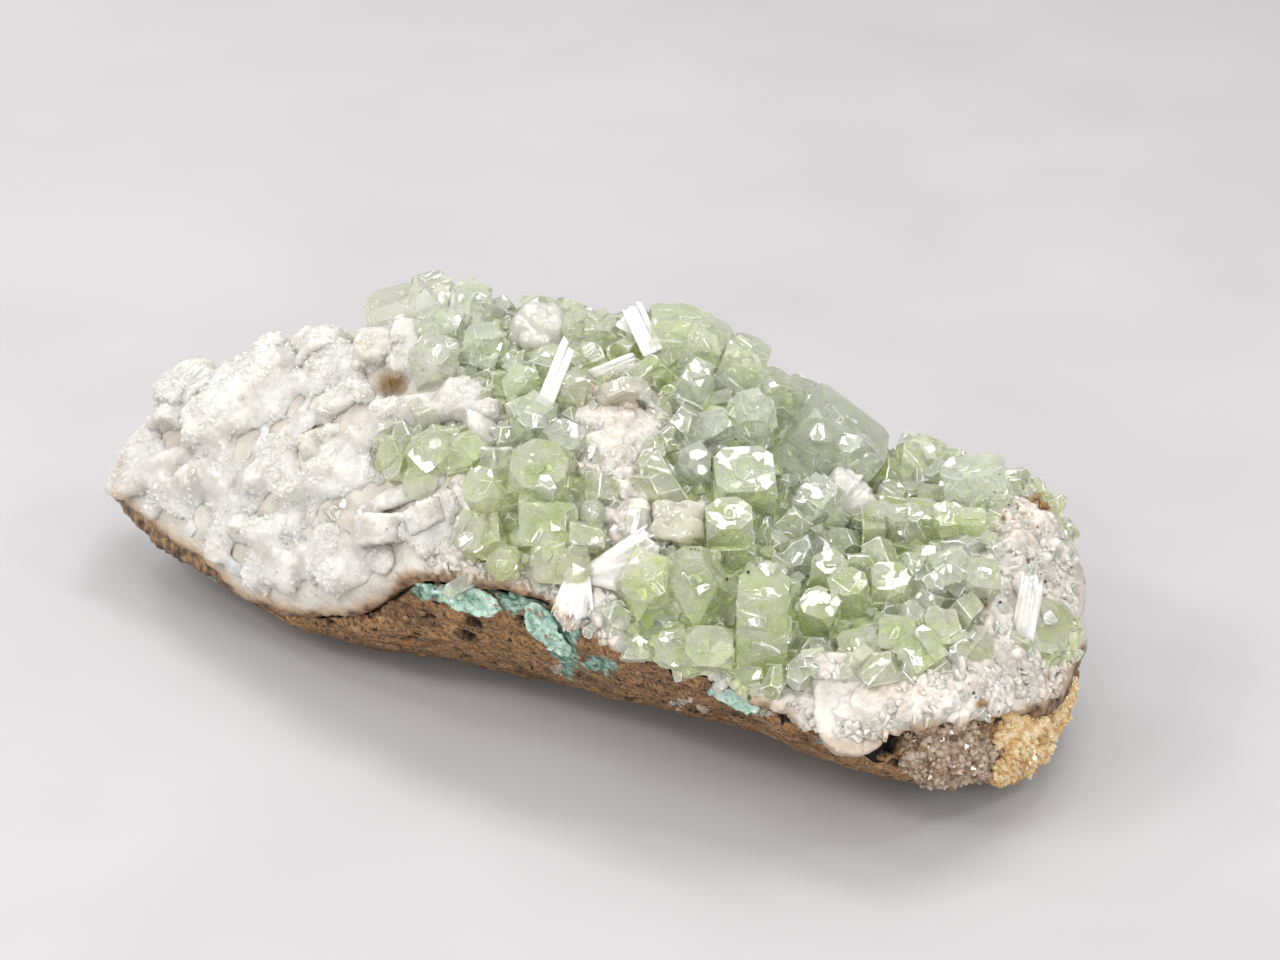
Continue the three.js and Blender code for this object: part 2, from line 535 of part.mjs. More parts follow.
function add(name, made, colour) {
  const material = new THREE.MeshStandardMaterial({ metalness: 0, flatShading: true, ...COLOURS[colour] });
  const mesh = new THREE.Mesh(geometryOf(made), material);
  mesh.name = name;
  specimen.add(mesh);
}

const hollowedRind = VUGS.reduce((made, vug) => made.subtract(ball(vug)), lofted(rindRing));
add("basalt_rind", largest(hollowedRind), "basalt");
add("stilbite_bed", lofted(bedRing), "stilbite");

const taken = [];
for (const [name, shape, colour, rows] of PIECES) {
  let made = joined(rows.map((row) => shape(row))).subtract(bedRoom).subtract(rindRoom);
  for (const room of taken) made = made.subtract(room);
  add(name, largest(made), colour);
  taken.push(joined(rows.map((row) => shape(row, GAP))));
}

for (const [name, colour, thickness, blot] of CRUSTS) {
  let made = lofted(rindRing, GAP + thickness).subtract(rindRoom).subtract(bedRoom).intersect(ball(blot));
  for (const room of taken) made = made.subtract(room);
  add(name, largest(made), colour);
}

export default specimen;
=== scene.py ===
# A cluster of green apophyllite crystals grown on white stilbite, on a piece of basalt rind: the finish
# of every piece, and the thousands of small crystals, blades and grains that are too fine for the frame.
import math
import random
from collections import namedtuple

import bmesh
import bpy
from mathutils import Matrix, Quaternion, Vector, noise
from mathutils.bvhtree import BVHTree


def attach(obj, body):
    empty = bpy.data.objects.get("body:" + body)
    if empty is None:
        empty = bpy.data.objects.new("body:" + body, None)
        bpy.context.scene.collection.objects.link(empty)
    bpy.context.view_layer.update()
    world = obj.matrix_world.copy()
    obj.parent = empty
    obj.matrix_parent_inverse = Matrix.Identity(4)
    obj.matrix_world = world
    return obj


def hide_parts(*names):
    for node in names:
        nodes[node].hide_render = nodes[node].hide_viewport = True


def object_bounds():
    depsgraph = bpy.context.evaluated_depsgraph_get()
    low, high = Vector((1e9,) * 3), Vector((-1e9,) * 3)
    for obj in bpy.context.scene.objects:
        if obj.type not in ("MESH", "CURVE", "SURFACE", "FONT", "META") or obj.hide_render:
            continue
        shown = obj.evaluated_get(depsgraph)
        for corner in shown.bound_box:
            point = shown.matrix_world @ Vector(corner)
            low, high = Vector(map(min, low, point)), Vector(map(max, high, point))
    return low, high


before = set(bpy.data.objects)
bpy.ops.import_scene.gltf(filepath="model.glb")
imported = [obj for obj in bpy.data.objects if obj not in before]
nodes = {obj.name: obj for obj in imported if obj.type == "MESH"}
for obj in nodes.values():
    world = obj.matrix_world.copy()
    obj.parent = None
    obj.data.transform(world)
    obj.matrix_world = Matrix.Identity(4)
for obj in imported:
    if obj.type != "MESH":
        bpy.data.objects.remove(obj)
cad_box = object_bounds()
MM = 0.001

# ---- The camera, and the picture that it takes ----------------------------------------------------

IMAGE_WIDTH, IMAGE_HEIGHT = 1280, 960
LENS_MM, SENSOR_MM = 100, 36
AZIMUTH, ELEVATION = math.radians(25), math.radians(27)
DISTANCE = 520 * MM
TARGET = Vector((3, 0, 24)) * MM
TARGET_PIXEL = (608, 527)  # where the target point lies in the picture

FORWARD = Vector((
    -math.sin(AZIMUTH) * math.cos(ELEVATION),
    math.cos(AZIMUTH) * math.cos(ELEVATION),
    -math.sin(ELEVATION),
))
RIGHT = Vector((math.cos(AZIMUTH), math.sin(AZIMUTH), 0))
UP = RIGHT.cross(FORWARD)
PIXELS = LENS_MM / SENSOR_MM * IMAGE_WIDTH  # pixels across at a distance of one
EYE = (
    TARGET
    - DISTANCE * FORWARD
    - RIGHT * (TARGET_PIXEL[0] - IMAGE_WIDTH / 2) / PIXELS * DISTANCE
    + UP * (TARGET_PIXEL[1] - IMAGE_HEIGHT / 2) / PIXELS * DISTANCE
)


def pixel_of(point):
    """Where a point lies in the picture."""
    away = point - EYE
    depth = away.dot(FORWARD)
    x = IMAGE_WIDTH / 2 + PIXELS * away.dot(RIGHT) / depth
    return x, IMAGE_HEIGHT / 2 - PIXELS * away.dot(UP) / depth


def sight(x, y):
    """The direction in which the camera sees a pixel."""
    across = (x - IMAGE_WIDTH / 2) / PIXELS
    return (FORWARD + RIGHT * across - UP * (y - IMAGE_HEIGHT / 2) / PIXELS).normalized()


def make_camera():
    camera = bpy.data.objects.new("camera", bpy.data.cameras.new("camera"))
    camera.data.lens = LENS_MM
    camera.data.sensor_width = SENSOR_MM
    camera.data.clip_start = 10 * MM
    turned = Matrix((RIGHT, UP, -FORWARD)).transposed().to_4x4()
    camera.matrix_world = Matrix.Translation(EYE) @ turned
    bpy.context.scene.collection.objects.link(camera)
    bpy.context.scene.camera = camera


make_camera()

# ---- Where each mineral grows ---------------------------------------------------------------------

# An ellipse in the picture, in pixels: its centre and its half width and height.
Patch = namedtuple("Patch", "x y wide high")

GREEN_GROWTH = [
    Patch(450, 318, 46, 46), Patch(520, 372, 60, 46), Patch(436, 452, 58, 30), Patch(548, 440, 46, 40),
    Patch(545, 515, 68, 50), Patch(640, 350, 96, 44), Patch(716, 385, 66, 66), Patch(735, 480, 90, 90),
    Patch(690, 605, 84, 74), Patch(768, 630, 62, 74), Patch(845, 450, 84, 60), Patch(865, 560, 112, 90),
    Patch(945, 510, 72, 58), Patch(900, 640, 84, 44), Patch(1046, 632, 36, 34),
]
WHITE_GAPS = [
    Patch(622, 428, 44, 36), Patch(632, 526, 26, 24), Patch(590, 580, 60, 34), Patch(1040, 560, 48, 90),
    Patch(985, 690, 90, 34), Patch(850, 705, 60, 34), Patch(484, 418, 20, 20), Patch(940, 620, 16, 12),
]
DEEP_GREEN = [
    Patch(502, 398, 18, 20), Patch(670, 372, 18, 20), Patch(668, 458, 26, 16), Patch(772, 500, 36, 26),
    Patch(553, 545, 36, 14), Patch(452, 455, 34, 26), Patch(720, 592, 16, 26), Patch(880, 490, 20, 14),
    Patch(560, 450, 28, 20), Patch(500, 545, 26, 22), Patch(1050, 630, 28, 26), Patch(845, 600, 34, 44),
]
PEACH_TINTS = [
    Patch(612, 395, 36, 26), Patch(575, 640, 60, 16), Patch(1020, 510, 44, 40), Patch(900, 690, 50, 22),
    Patch(655, 460, 14, 14), Patch(1060, 690, 30, 30), Patch(680, 525, 30, 20),
]
# Brown stains. The first lies in the hollow, and there its brown is also painted shade.
BROWN_STAINS_AND_HOLLOW_SHADE = [
    Patch(391, 384, 20, 16), Patch(985, 605, 6, 10), Patch(862, 572, 6, 12), Patch(982, 704, 10, 6),
]
HOLLOWS = [Patch(391, 384, 18, 14)]  # where the bed sinks in
CELADONITE_STAINS = [
    Patch(452, 584, 60, 14), Patch(522, 600, 26, 14), Patch(565, 648, 14, 34), Patch(600, 665, 18, 10),
    Patch(735, 692, 22, 9), Patch(218, 575, 26, 8), Patch(795, 712, 10, 10), Patch(850, 742, 40, 5),
]
# The top and bottom of the specimen in the picture, and the rim where the growth meets the rind.
SKYLINE = [
    (112, 480), (135, 430), (165, 390), (205, 368), (262, 350), (275, 338), (300, 338), (315, 332),
    (350, 330), (370, 300), (380, 283), (430, 271), (485, 275), (500, 305), (540, 296), (590, 318),
    (618, 297), (640, 299), (690, 310), (730, 340), (770, 374), (800, 376), (830, 396), (870, 430),
    (900, 455), (945, 453), (990, 450), (1025, 472), (1055, 520), (1080, 580), (1081, 620),
]
RIM = [
    (112, 486), (150, 517), (200, 552), (245, 593), (300, 609), (345, 610), (385, 595), (405, 572),
    (450, 570), (500, 580), (550, 595), (580, 628), (620, 655), (680, 682), (740, 694), (790, 708),
    (800, 730), (860, 745), (890, 735), (905, 725), (1000, 716), (1060, 692), (1081, 640),
]
RIDGE_Y = 17 * MM  # behind this line the camera sees nothing, and the growth goes by place
GREEN_FROM, GREEN_TO = -32 * MM, 62 * MM  # how far the apophyllite goes behind the ridge, along X
WHITE_SIDE = -12 * MM  # left of this the growth is bladed stilbite


def reach(patches, point):
    """How far a point lies inside the patches: above 0 inside, 1 at a centre."""
    x, y = pixel_of(point)
    return max(1 - ((x - p.x) / p.wide) ** 2 - ((y - p.y) / p.high) ** 2 for p in patches)


def wander(point, size):
    """A smooth random value between about -1 and 1 that changes over `size`."""
    return noise.noise(point / size)


def clamped(value):
    return min(max(value, 0), 1)


def line_at(line, x):
    """How far down the picture a line lies at x."""
    for (x0, y0), (x1, y1) in zip(line, line[1:]):
        if x0 <= x <= x1:
            return y0 + (y1 - y0) * (x - x0) / (x1 - x0)
    return None


def is_seen(point, normal):
    return point.y < RIDGE_Y and normal.dot(EYE - point) > 0


def green_share(point, normal):
    """0 where only stilbite grows, 1 where only apophyllite does."""
    ragged = 0.35 * wander(point, 4 * MM)
    if is_seen(point, normal):
        share = 2.5 * (reach(GREEN_GROWTH, point) + ragged) + 0.3
        gap = 2.5 * (reach(WHITE_GAPS, point) + ragged)
        return clamped(min(share, 1 - gap))
    along = min(point.x - GREEN_FROM, GREEN_TO - point.x) / (8 * MM)
    return clamped(along + 1.6 * wander(point, 11 * MM) + 0.2)


def rim_share(point):
    """1 at the rim of the growth, where the rind has stained it, and 0 a little above."""
    x, y = pixel_of(point)
    rim = line_at(RIM, x)
    return 0 if rim is None else clamped((y - rim + 5) / 7 + 0.5 * wander(point, 3 * MM))


def peach_share(point, normal):
    if is_seen(point, normal):
        tint = 0.9 * reach(PEACH_TINTS, point) + 0.3 * wander(point, 5 * MM)
        return clamped(max(tint, rim_share(point)))
    return clamped(1.4 * wander(point, 9 * MM) - 0.2)


def brown_stain_and_shade_share(point, normal):
    if is_seen(point, normal):
        stain = reach(BROWN_STAINS_AND_HOLLOW_SHADE, point) + 0.3 * wander(point, 2.2 * MM)
        return clamped(max(stain, 0.35 * rim_share(point)))
    return clamped(4 * wander(point, 6 * MM) - 2)


# ---- Materials ------------------------------------------------------------------------------------


def linear(colour):
    """sRGB hex to the linear numbers that the shaders take."""
    values = [int(colour[i:i + 2], 16) / 255 for i in (1, 3, 5)]
    return [v / 12.92 if v <= 0.04045 else ((v + 0.055) / 1.055) ** 2.4 for v in values] + [1]


def new_material(name):
    material = bpy.data.materials.new(name)
    material.use_nodes = True
    return material, material.node_tree.nodes["Principled BSDF"]


def give(owner, node, inputs):
    """Sets a node's inputs, by name or number: a socket is linked, a hex colour or a value is put in."""
    for name, value in inputs.items():
        if isinstance(value, bpy.types.NodeSocket):
            owner.node_tree.links.new(value, node.inputs[name])
        else:
            node.inputs[name].default_value = linear(value) if isinstance(value, str) else value


def add(owner, kind, inputs=None, stops=(), **settings):
    """Adds a node to a material or the world. Stops are pairs of position and hex colour, for a ramp."""
    made = owner.node_tree.nodes.new(kind)
    for name, value in settings.items():
        setattr(made, name, value)
    give(owner, made, inputs or {})
    elements = made.color_ramp.elements if stops else ()
    while len(elements) < len(stops):
        elements.new(0.5)
    for element, (position, colour) in zip(elements, stops):
        element.position = position
        element.color = linear(colour)
    return made


def pattern(material, size_mm, detail=4, roughness=0.55, stretch=(1, 1, 1), swirl=0.0):
    """Noise whose patches are about size_mm across, on Object coordinates."""
    place = add(material, "ShaderNodeTexCoord").outputs["Object"]
    if stretch != (1, 1, 1):
        place = add(material, "ShaderNodeMapping", {"Vector": place, "Scale": stretch}).outputs["Vector"]
    made = add(material, "ShaderNodeTexNoise", {
        "Vector": place, "Scale": 1 / (size_mm * MM), "Detail": detail, "Roughness": roughness,
        "Distortion": swirl,
    })
    return made.outputs["Fac"]


def clouded(material, size_mm, detail, *stops, roughness=0.55):
    """Colours that run into each other, in clouds about size_mm across."""
    clouds = pattern(material, size_mm, detail, roughness)
    return add(material, "ShaderNodeValToRGB", {"Fac": clouds}, stops).outputs["Color"]


def overlaid(material, under, over, where, low=0, high=1, most=1):
    """Lays a colour over another, from none where a value is low to `most` where it is high.

    The value is a socket, or the name of an attribute that the mesh carries.
    """
    if isinstance(where, str):
        where = add(material, "ShaderNodeAttribute", attribute_name=where).outputs["Fac"]
    share = add(material, "ShaderNodeMapRange", {
        "Value": where, "From Min": low, "From Max": high, "To Min": 0, "To Max": most,
    }).outputs["Result"]
    made = add(material, "ShaderNodeMix", {0: share, 6: under, 7: over}, data_type="RGBA")
    return made.outputs[2]


def relief(material, shader, *layers):
    """Gives a surface its relief. Each layer is a height, its depth in millimetres and its strength."""
    under = {}
    for height, depth_mm, strength in layers:
        made = add(material, "ShaderNodeBump", {
            "Height": height, "Distance": depth_mm * MM, "Strength": strength, **under,
        })
        under = {"Normal": made.outputs["Normal"]}
    give(material, shader, under)


def mosaic(material, size_mm, slope):
    """A layer of relief: flat cells about size_mm across, each tipped its own way by up to `slope`."""
    place = add(material, "ShaderNodeTexCoord").outputs["Object"]
    cells = add(material, "ShaderNodeTexVoronoi", {"Vector": place, "Scale": 1 / (size_mm * MM)})
    out = add(
        material, "ShaderNodeVectorMath", {0: place, 1: cells.outputs["Position"]}, operation="SUBTRACT",
    )
    tip = add(
        material, "ShaderNodeVectorMath", {0: cells.outputs["Color"], 1: (0.5, 0.5, 0.5)},
        operation="SUBTRACT",
    )
    height = add(
        material, "ShaderNodeVectorMath", {0: out.outputs["Vector"], 1: tip.outputs["Vector"]},
        operation="DOT_PRODUCT",
    )
    return height.outputs["Value"], 2 * slope / MM, 1


def weathered_basalt():
    """Basalt, broken and weathered: matt tan-brown stone with grey and rusty clouds, and painted shade:
    near black in its pits and along the gap under the rim.
    """
    material, shader = new_material("weathered_basalt")
    stone = clouded(
        material, 9, 6, (0.3, "#775a3b"), (0.43, "#9f784f"), (0.55, "#b88c5f"), (0.7, "#a1825a"),
    )
    stone = overlaid(material, stone, "#b0703f", pattern(material, 6), 0.58, 0.72, 0.6)
    grains = pattern(material, 0.9, 3)
    stone = overlaid(material, stone, "#d3ad80", grains, 0.52, 0.7, 0.6)
    stone = overlaid(material, stone, "#3a2a1e", grains, 0.46, 0.34, 0.8)
    squiggles = pattern(material, 0.8, 2, stretch=(1, 1, 0.4), swirl=2.5)
    stone = overlaid(material, stone, "#3d2b1d", squiggles, 0.47, 0.38, 0.8)
    flow = pattern(material, 1.5, 3, stretch=(0.12, 1, 1))
    stone = overlaid(material, stone, "#4a3625", flow, 0.48, 0.36, 0.5)
    stone = overlaid(material, stone, "#1c1511", pattern(material, 1.3, 1), 0.34, 0.29)
    # Painted shade: near black where the pit attribute says, in the pits and along the gap under the rim.
    stone = overlaid(material, stone, "#0d0a08", "pit")
    celadonite = clouded(material, 0.9, 3, (0.4, "#56786a"), (0.5, "#88ad9b"), (0.6, "#b2cfc0"))
    stone = overlaid(material, stone, celadonite, "stain")
    give(material, shader, {"Base Color": stone, "Roughness": 0.88})
    rough = pattern(material, 0.8, 5, 0.65)
    relief(material, shader, (rough, 0.8, 1), (flow, 0.6, 0.8), (squiggles, 0.6, 0.9))
    return material


def celadonite_crust():
    """Celadonite, grown as an earthy film: matt turquoise, flaked and cracked, dark between the flakes."""
    material, shader = new_material("celadonite_crust")
    colour = clouded(
        material, 1.8, 5, (0.32, "#466659"), (0.42, "#87aa9a"), (0.52, "#abc8b9"), (0.66, "#d6e6dd"),
        roughness=0.65,
    )
    colour = overlaid(material, colour, "#8a6d50", pattern(material, 1.5, 3), 0.58, 0.7)
    give(material, shader, {"Base Color": colour, "Roughness": 0.85})
    relief(material, shader, (pattern(material, 0.7), 0.5, 1))
    return material


def granular_stilbite():
    """Stilbite, grown as a sugary lining: translucent white grains, green below the apophyllite."""
    material, shader = new_material("granular_stilbite")
    white = clouded(material, 5, 5, (0.3, "#aaa294"), (0.5, "#bdb7ac"), (0.7, "#cbc7bf"))
    white = overlaid(material, white, "#cfb395", "peach", most=0.7)
    # Brown stains; in the hollow the brown is also painted shade.
    white = overlaid(material, white, "#86612f", "brown", most=0.95)
    green = clouded(material, 3, 4, (0.33, "#b3bf7e"), (0.5, "#cdd6a6"), (0.66, "#dfe4c6"))
    colour = overlaid(material, white, green, "green")
    film = clouded(material, 1.4, 4, (0.36, "#33241b"), (0.5, "#6d523c"), (0.62, "#96754f"))
    colour = overlaid(material, colour, film, "film")
    give(material, shader, {"Base Color": colour, "Roughness": 0.5})
    relief(material, shader, (pattern(material, 1.1, 4, 0.7), 0.7, 1))
    return material


def bladed_stilbite(name, light, middle, dark, clearness=0.0, milk_mm=3.0, grain_mm=0.9, grain=0.25):
    """Stilbite, grown as pearly blades: milky and soft, because light passes some way in."""
    material, shader = new_material(name)
    colour = clouded(material, 4, 4, (0.3, dark), (0.5, middle), (0.66, light))
    colour = overlaid(material, colour, light, "shade", most=0.5)
    colour = overlaid(material, colour, "#cbb6a2", "peach", most=0.4)
    # Brown stains; in the hollow the brown is also painted shade.
    colour = overlaid(material, colour, "#86683c", "brown")
    give(material, shader, {
        "Base Color": colour, "Roughness": 0.28, "IOR": 1.5, "Transmission Weight": clearness,
        "Subsurface Weight": 0.8, "Subsurface Radius": (1, 0.95, 0.87), "Subsurface Scale": milk_mm * MM,
    })
    relief(material, shader, (pattern(material, grain_mm, 3), grain, 0.7), mosaic(material, 0.8, 0.18))
    return material


def apophyllite(name, light, tint, depth_colour, density, clearness):
    """Apophyllite, natural crystal faces: vitreous and see-through, veiled inside, with white painted on
    its worn edges, partly as painted highlight.
    """
    material, shader = new_material(name)
    colour = clouded(material, 2.8, 2, (0.36, tint), (0.6, light))
    colour = overlaid(material, colour, light, "shade", most=0.6)
    worn = add(material, "ShaderNodeMapRange", {
        "Value": pattern(material, 1.6, 2), "From Min": 0.42, "From Max": 0.6,
        "To Min": 0.1, "To Max": 0.75,
    })
    # Painted highlight and wear: the bevelled edges, broken up by noise, are painted white and let less
    # light through. This stands both for frosted wear and for the bright edge lines that light makes in the
    # crystals.
    edge = add(material, "ShaderNodeAttribute", attribute_name="edge").outputs["Fac"]
    edge = add(
        material, "ShaderNodeMath", {0: edge, 1: worn.outputs["Result"]}, operation="MULTIPLY",
    ).outputs["Value"]
    clear = add(material, "ShaderNodeMapRange", {
        "Value": edge, "From Min": 0, "From Max": 1, "To Min": clearness, "To Max": 0.4 * clearness,
    })
    give(material, shader, {
        "Base Color": overlaid(material, colour, "#ffffff", edge), "Roughness": 0.06, "IOR": 1.535,
        "Specular IOR Level": 0.8, "Transmission Weight": clear.outputs["Result"],
    })
    # Growth hillocks and steps on the faces, drawn a little coarser than the real ones.
    relief(material, shader, mosaic(material, 1.3, 0.12))
    inside = add(material, "ShaderNodeVolumeAbsorption", {"Color": depth_colour, "Density": density})
    give(material, material.node_tree.nodes["Material Output"], {"Volume": inside.outputs["Volume"]})
    return material


def drusy_quartz(name, light, middle, dark):
    """Quartz, grown as a druse: glassy points, warm with iron, bright where they catch the light."""
    material, shader = new_material(name)
    colour = clouded(material, 2.5, 4, (0.32, dark), (0.5, middle), (0.68, light))
    colour = overlaid(material, colour, light, "shade", 0.5, 1, 0.8)
    give(material, shader, {
        "Base Color": colour, "Roughness": 0.1, "IOR": 1.544, "Transmission Weight": 0.3,
    })
    return material


def dark_specks():
    """Manganese oxide, deposited as tiny black grains: matt, almost black."""
    material, shader = new_material("manganese_specks")
    colour = clouded(material, 0.5, 2, (0.4, "#1d1a17"), (0.6, "#3b332b"))
    give(material, shader, {"Base Color": colour, "Roughness": 0.6})
    return material


BASALT = weathered_basalt()
CELADONITE = celadonite_crust()
LINING = granular_stilbite()
WHITE_BLADES = bladed_stilbite("pearly_stilbite", "#c0beb9", "#b6b3ad", "#a59f96", 0, 4.5)
SILKY_BLADES = bladed_stilbite("silky_stilbite", "#dddbd8", "#d6d3cf", "#c8c3bb", 0, 3)
SUGARY_GRAINS = bladed_stilbite("sugary_stilbite", "#cbc7c0", "#bfb9b0", "#a69d90", 0, 1.2, 0.7, 0.5)
CHALKY_PLATE = bladed_stilbite("chalky_stilbite", "#cdc9c2", "#c2bdb4", "#aea597", 0, 1.5, 0.6, 0.4)
CREAM_BLADES = bladed_stilbite("cream_stilbite", "#c4c1b8", "#bab6ab", "#aaa397", 0.1)
CLEAR = apophyllite("glassy_apophyllite", "#fcfdf6", "#f0f5e0", "#e0e8ba", 24, 0.78)
PALE = apophyllite("mint_apophyllite", "#fafcef", "#ebf2cf", "#dae48f", 40, 0.76)
GREEN = apophyllite("leaf_green_apophyllite", "#f6f8e6", "#dfe9ae", "#d6df76", 70, 0.74)
BEIGE = apophyllite("beige_apophyllite", "#efecdd", "#e4dfcb", "#e8e2be", 26, 0.6)
MILKY = apophyllite("milky_apophyllite", "#f6f4ee", "#ebe7de", "#efe8dc", 12, 0.56)
GOLD = drusy_quartz("iron_stained_quartz", "#f6e6c0", "#dfba80", "#ae8148")
GREY = drusy_quartz("smoky_quartz", "#dccab4", "#9c8066", "#5f4733")
SPECKS = dark_specks()

# ---- Small forms that are repeated ----------------------------------------------------------------

CORNERS = ((1, 1), (1, -1), (-1, 1), (-1, -1))
PYRAMID_ANGLE = math.radians(60.4)  # between the base of an apophyllite crystal and its pyramid faces
BLADE_REACH = 1.6  # how long a blade is, in widths
BLADE_MIDDLE = 0.28  # how far up a blade its middle lies, in lengths
OUTLINE_CORNERS = 12
ROOT = 0.6  # how far a form goes on below its foot, in widths


def finished_form(bm, name):
    """Turns a bmesh into a mesh that carries a shade for each crystal."""
    bmesh.ops.recalc_face_normals(bm, faces=bm.faces)
    form = bpy.data.meshes.new(name)
    bm.to_mesh(form)
    bm.free()
    form.attributes.new("shade", "FLOAT", "POINT")
    return form


def jostled(bm, amount, seed):
    """Moves each corner a little at random."""
    rng = random.Random(seed)
    for vert in bm.verts:
        vert.co += Vector(rng.uniform(-amount, amount) for _ in range(3))


def bevelled(bm, edges, width, segments=1):
    """Takes edges off, and marks the faces that come there."""
    # On apophyllite the marked faces are painted white, partly as painted highlight.
    layer = bm.faces.layers.float.get("edge") or bm.faces.layers.float.new("edge")
    made = bmesh.ops.bevel(
        bm, geom=edges, offset=width, offset_type="OFFSET", segments=segments, profile=0.5,
        affect="EDGES", material=-1, clamp_overlap=True,
    )
    for face in made["faces"]:
        face[layer] = 1


def softened(bm, times):
    for _ in range(times):
        bmesh.ops.smooth_vert(
            bm, verts=bm.verts, factor=0.5, use_axis_x=True, use_axis_y=True, use_axis_z=True,
        )


def crystal_form(cut, height, depth, bevel, seed):
    """An apophyllite crystal one wide: a square prism with a pyramid face on each upper corner."""
    rng = random.Random(seed)
    bm = bmesh.new()
    bmesh.ops.create_cube(bm, size=1)
    bmesh.ops.scale(bm, vec=(1, depth, height + ROOT), verts=bm.verts)
    bmesh.ops.translate(bm, vec=(0, 0, (height - ROOT) / 2), verts=bm.verts)
    side = math.sin(PYRAMID_ANGLE) / math.sqrt(2)
    for x, y in CORNERS:
        place = (x * (0.5 - cut * rng.uniform(0.6, 1.3)), y * depth / 2, height)
        sliced(bm, place, (x * side, y * side, math.cos(PYRAMID_ANGLE)))
    for _ in range(2):  # faces of neighbours that it grew against
        round_about = rng.uniform(0, 2 * math.pi)
        facing = Vector((math.cos(round_about), math.sin(round_about), rng.uniform(0.1, 0.9))).normalized()
        sliced(bm, Vector((0, 0, 0.45 * height)) + facing * rng.uniform(0.4, 0.52), facing)
    jostled(bm, 0.015, seed)
    bevelled(bm, [e for e in bm.edges if max(v.co.z for v in e.verts) > 0], bevel)
    return finished_form(bm, "crystal_form")


def sliced(bm, on_plane, facing):
    """Cuts off what lies beyond a plane, and closes the cut."""
    everything = bm.verts[:] + bm.edges[:] + bm.faces[:]
    bmesh.ops.bisect_plane(bm, geom=everything, plane_co=on_plane, plane_no=facing, clear_outer=True)
    bmesh.ops.holes_fill(bm, edges=bm.edges)


def blade_form(thickness, seed):
    """A stilbite plate one wide: a tablet with a rounded outline."""
    rng = random.Random(seed)
    bm = bmesh.new()
    outline = []
    for i in range(OUTLINE_CORNERS):
        turn = 2 * math.pi * (i + rng.uniform(-0.2, 0.2)) / OUTLINE_CORNERS
        x, z = math.cos(turn), math.sin(turn)
        out = (abs(x) ** 4 + abs(z) ** 4) ** -0.25 * rng.uniform(0.92, 1.04)
        outline.append(bm.verts.new((0.5 * x * out, -thickness / 2, 0.5 * BLADE_REACH * z * out)))
    face = bm.faces.new(outline)
    pushed = bmesh.ops.extrude_face_region(bm, geom=[face])["geom"]
    verts = [g for g in pushed if isinstance(g, bmesh.types.BMVert)]
    bmesh.ops.translate(bm, vec=(0, thickness, 0), verts=verts)
    rims = [e for e in bm.edges if abs(e.verts[0].co.y - e.verts[1].co.y) < thickness / 2]
    bevelled(bm, rims, 0.25 * thickness, 1)
    bmesh.ops.translate(bm, vec=(0, 0, 0.45), verts=bm.verts)
    return finished_form(bm, "blade_form")


def grain_form(seed):
    """A small intergrown grain: a block with its edges taken off."""
    bm = bmesh.new()
    bmesh.ops.create_cube(bm, size=1)
    jostled(bm, 0.16, seed)
    bevelled(bm, bm.edges[:], 0.14)
    return finished_form(bm, "grain_form")


def strip_form(seed):
    """A strip of a stilbite lath, one wide and one long, with a slanting head."""
    bm = bmesh.new()
    bmesh.ops.create_cube(bm, size=1)
    bmesh.ops.translate(bm, vec=(0, 0, 0.5), verts=bm.verts)
    rng = random.Random(seed)
    for vert in bm.verts:
        if vert.co.z > 0.5:
            vert.co.z -= rng.uniform(0, 0.12)
            vert.co.x *= rng.uniform(0.8, 1)
    bevelled(bm, bm.edges[:], 0.1)
    return finished_form(bm, "strip_form")


def point_form():
    """A quartz point one wide: a six-sided prism under a six-sided pyramid."""
    bm = bmesh.new()
    bmesh.ops.create_cone(bm, cap_ends=True, segments=6, radius1=0.5, radius2=0.46, depth=1)
    top = max(bm.faces, key=lambda face: face.calc_center_median().z)
    bmesh.ops.poke(bm, faces=[top], offset=0.55)
    return finished_form(bm, "point_form")


def lobe_form():
    """A ball one wide."""
    bm = bmesh.new()
    bmesh.ops.create_icosphere(bm, subdivisions=2, radius=0.5)
    return finished_form(bm, "lobe_form")


CRYSTAL_FORMS = [
    crystal_form(0.12, 0.9, 1.0, 0.05, 1), crystal_form(0.3, 1.1, 0.9, 0.05, 2),
    crystal_form(0.45, 1.0, 1.0, 0.05, 3), crystal_form(0.2, 1.4, 0.85, 0.05, 4),
    crystal_form(0.62, 1.3, 1.0, 0.04, 5), crystal_form(0.06, 1.0, 1.1, 0.05, 6),
    crystal_form(0.36, 0.8, 1.0, 0.05, 7), crystal_form(0.16, 1.2, 1.0, 0.05, 8),
    crystal_form(0.4, 1.2, 1.1, 0.04, 9), crystal_form(0.25, 0.9, 0.8, 0.05, 10),
    crystal_form(0.5, 1.1, 0.9, 0.04, 11), crystal_form(0.1, 1.3, 0.9, 0.05, 12),
]
PLATE_FORMS = [crystal_form(0.1 + 0.08 * i, 1, 1.0, 0.05, 90 + i) for i in range(5)]
BLADE_FORMS = [blade_form(0.34 + 0.05 * i, 20 + i) for i in range(6)]
GRAIN_FORMS = [grain_form(40 + i) for i in range(4)]
STRIP_FORMS = [strip_form(60 + i) for i in range(3)]
POINT = point_form()
LOBE = lobe_form()

Growth = namedtuple("Growth", "form place shade")


def stood(form, foot, axis, turn, size, shade=0.5, stretch=(1, 1, 1)):
    """A form with its foot at a point, its length along axis, turned about that, `size` metres wide."""
    lean = Vector((0, 0, 1)).rotation_difference(axis)
    spin = Quaternion((0, 0, 1), turn)
    return placed(form, foot, lean @ spin, size, shade, stretch)


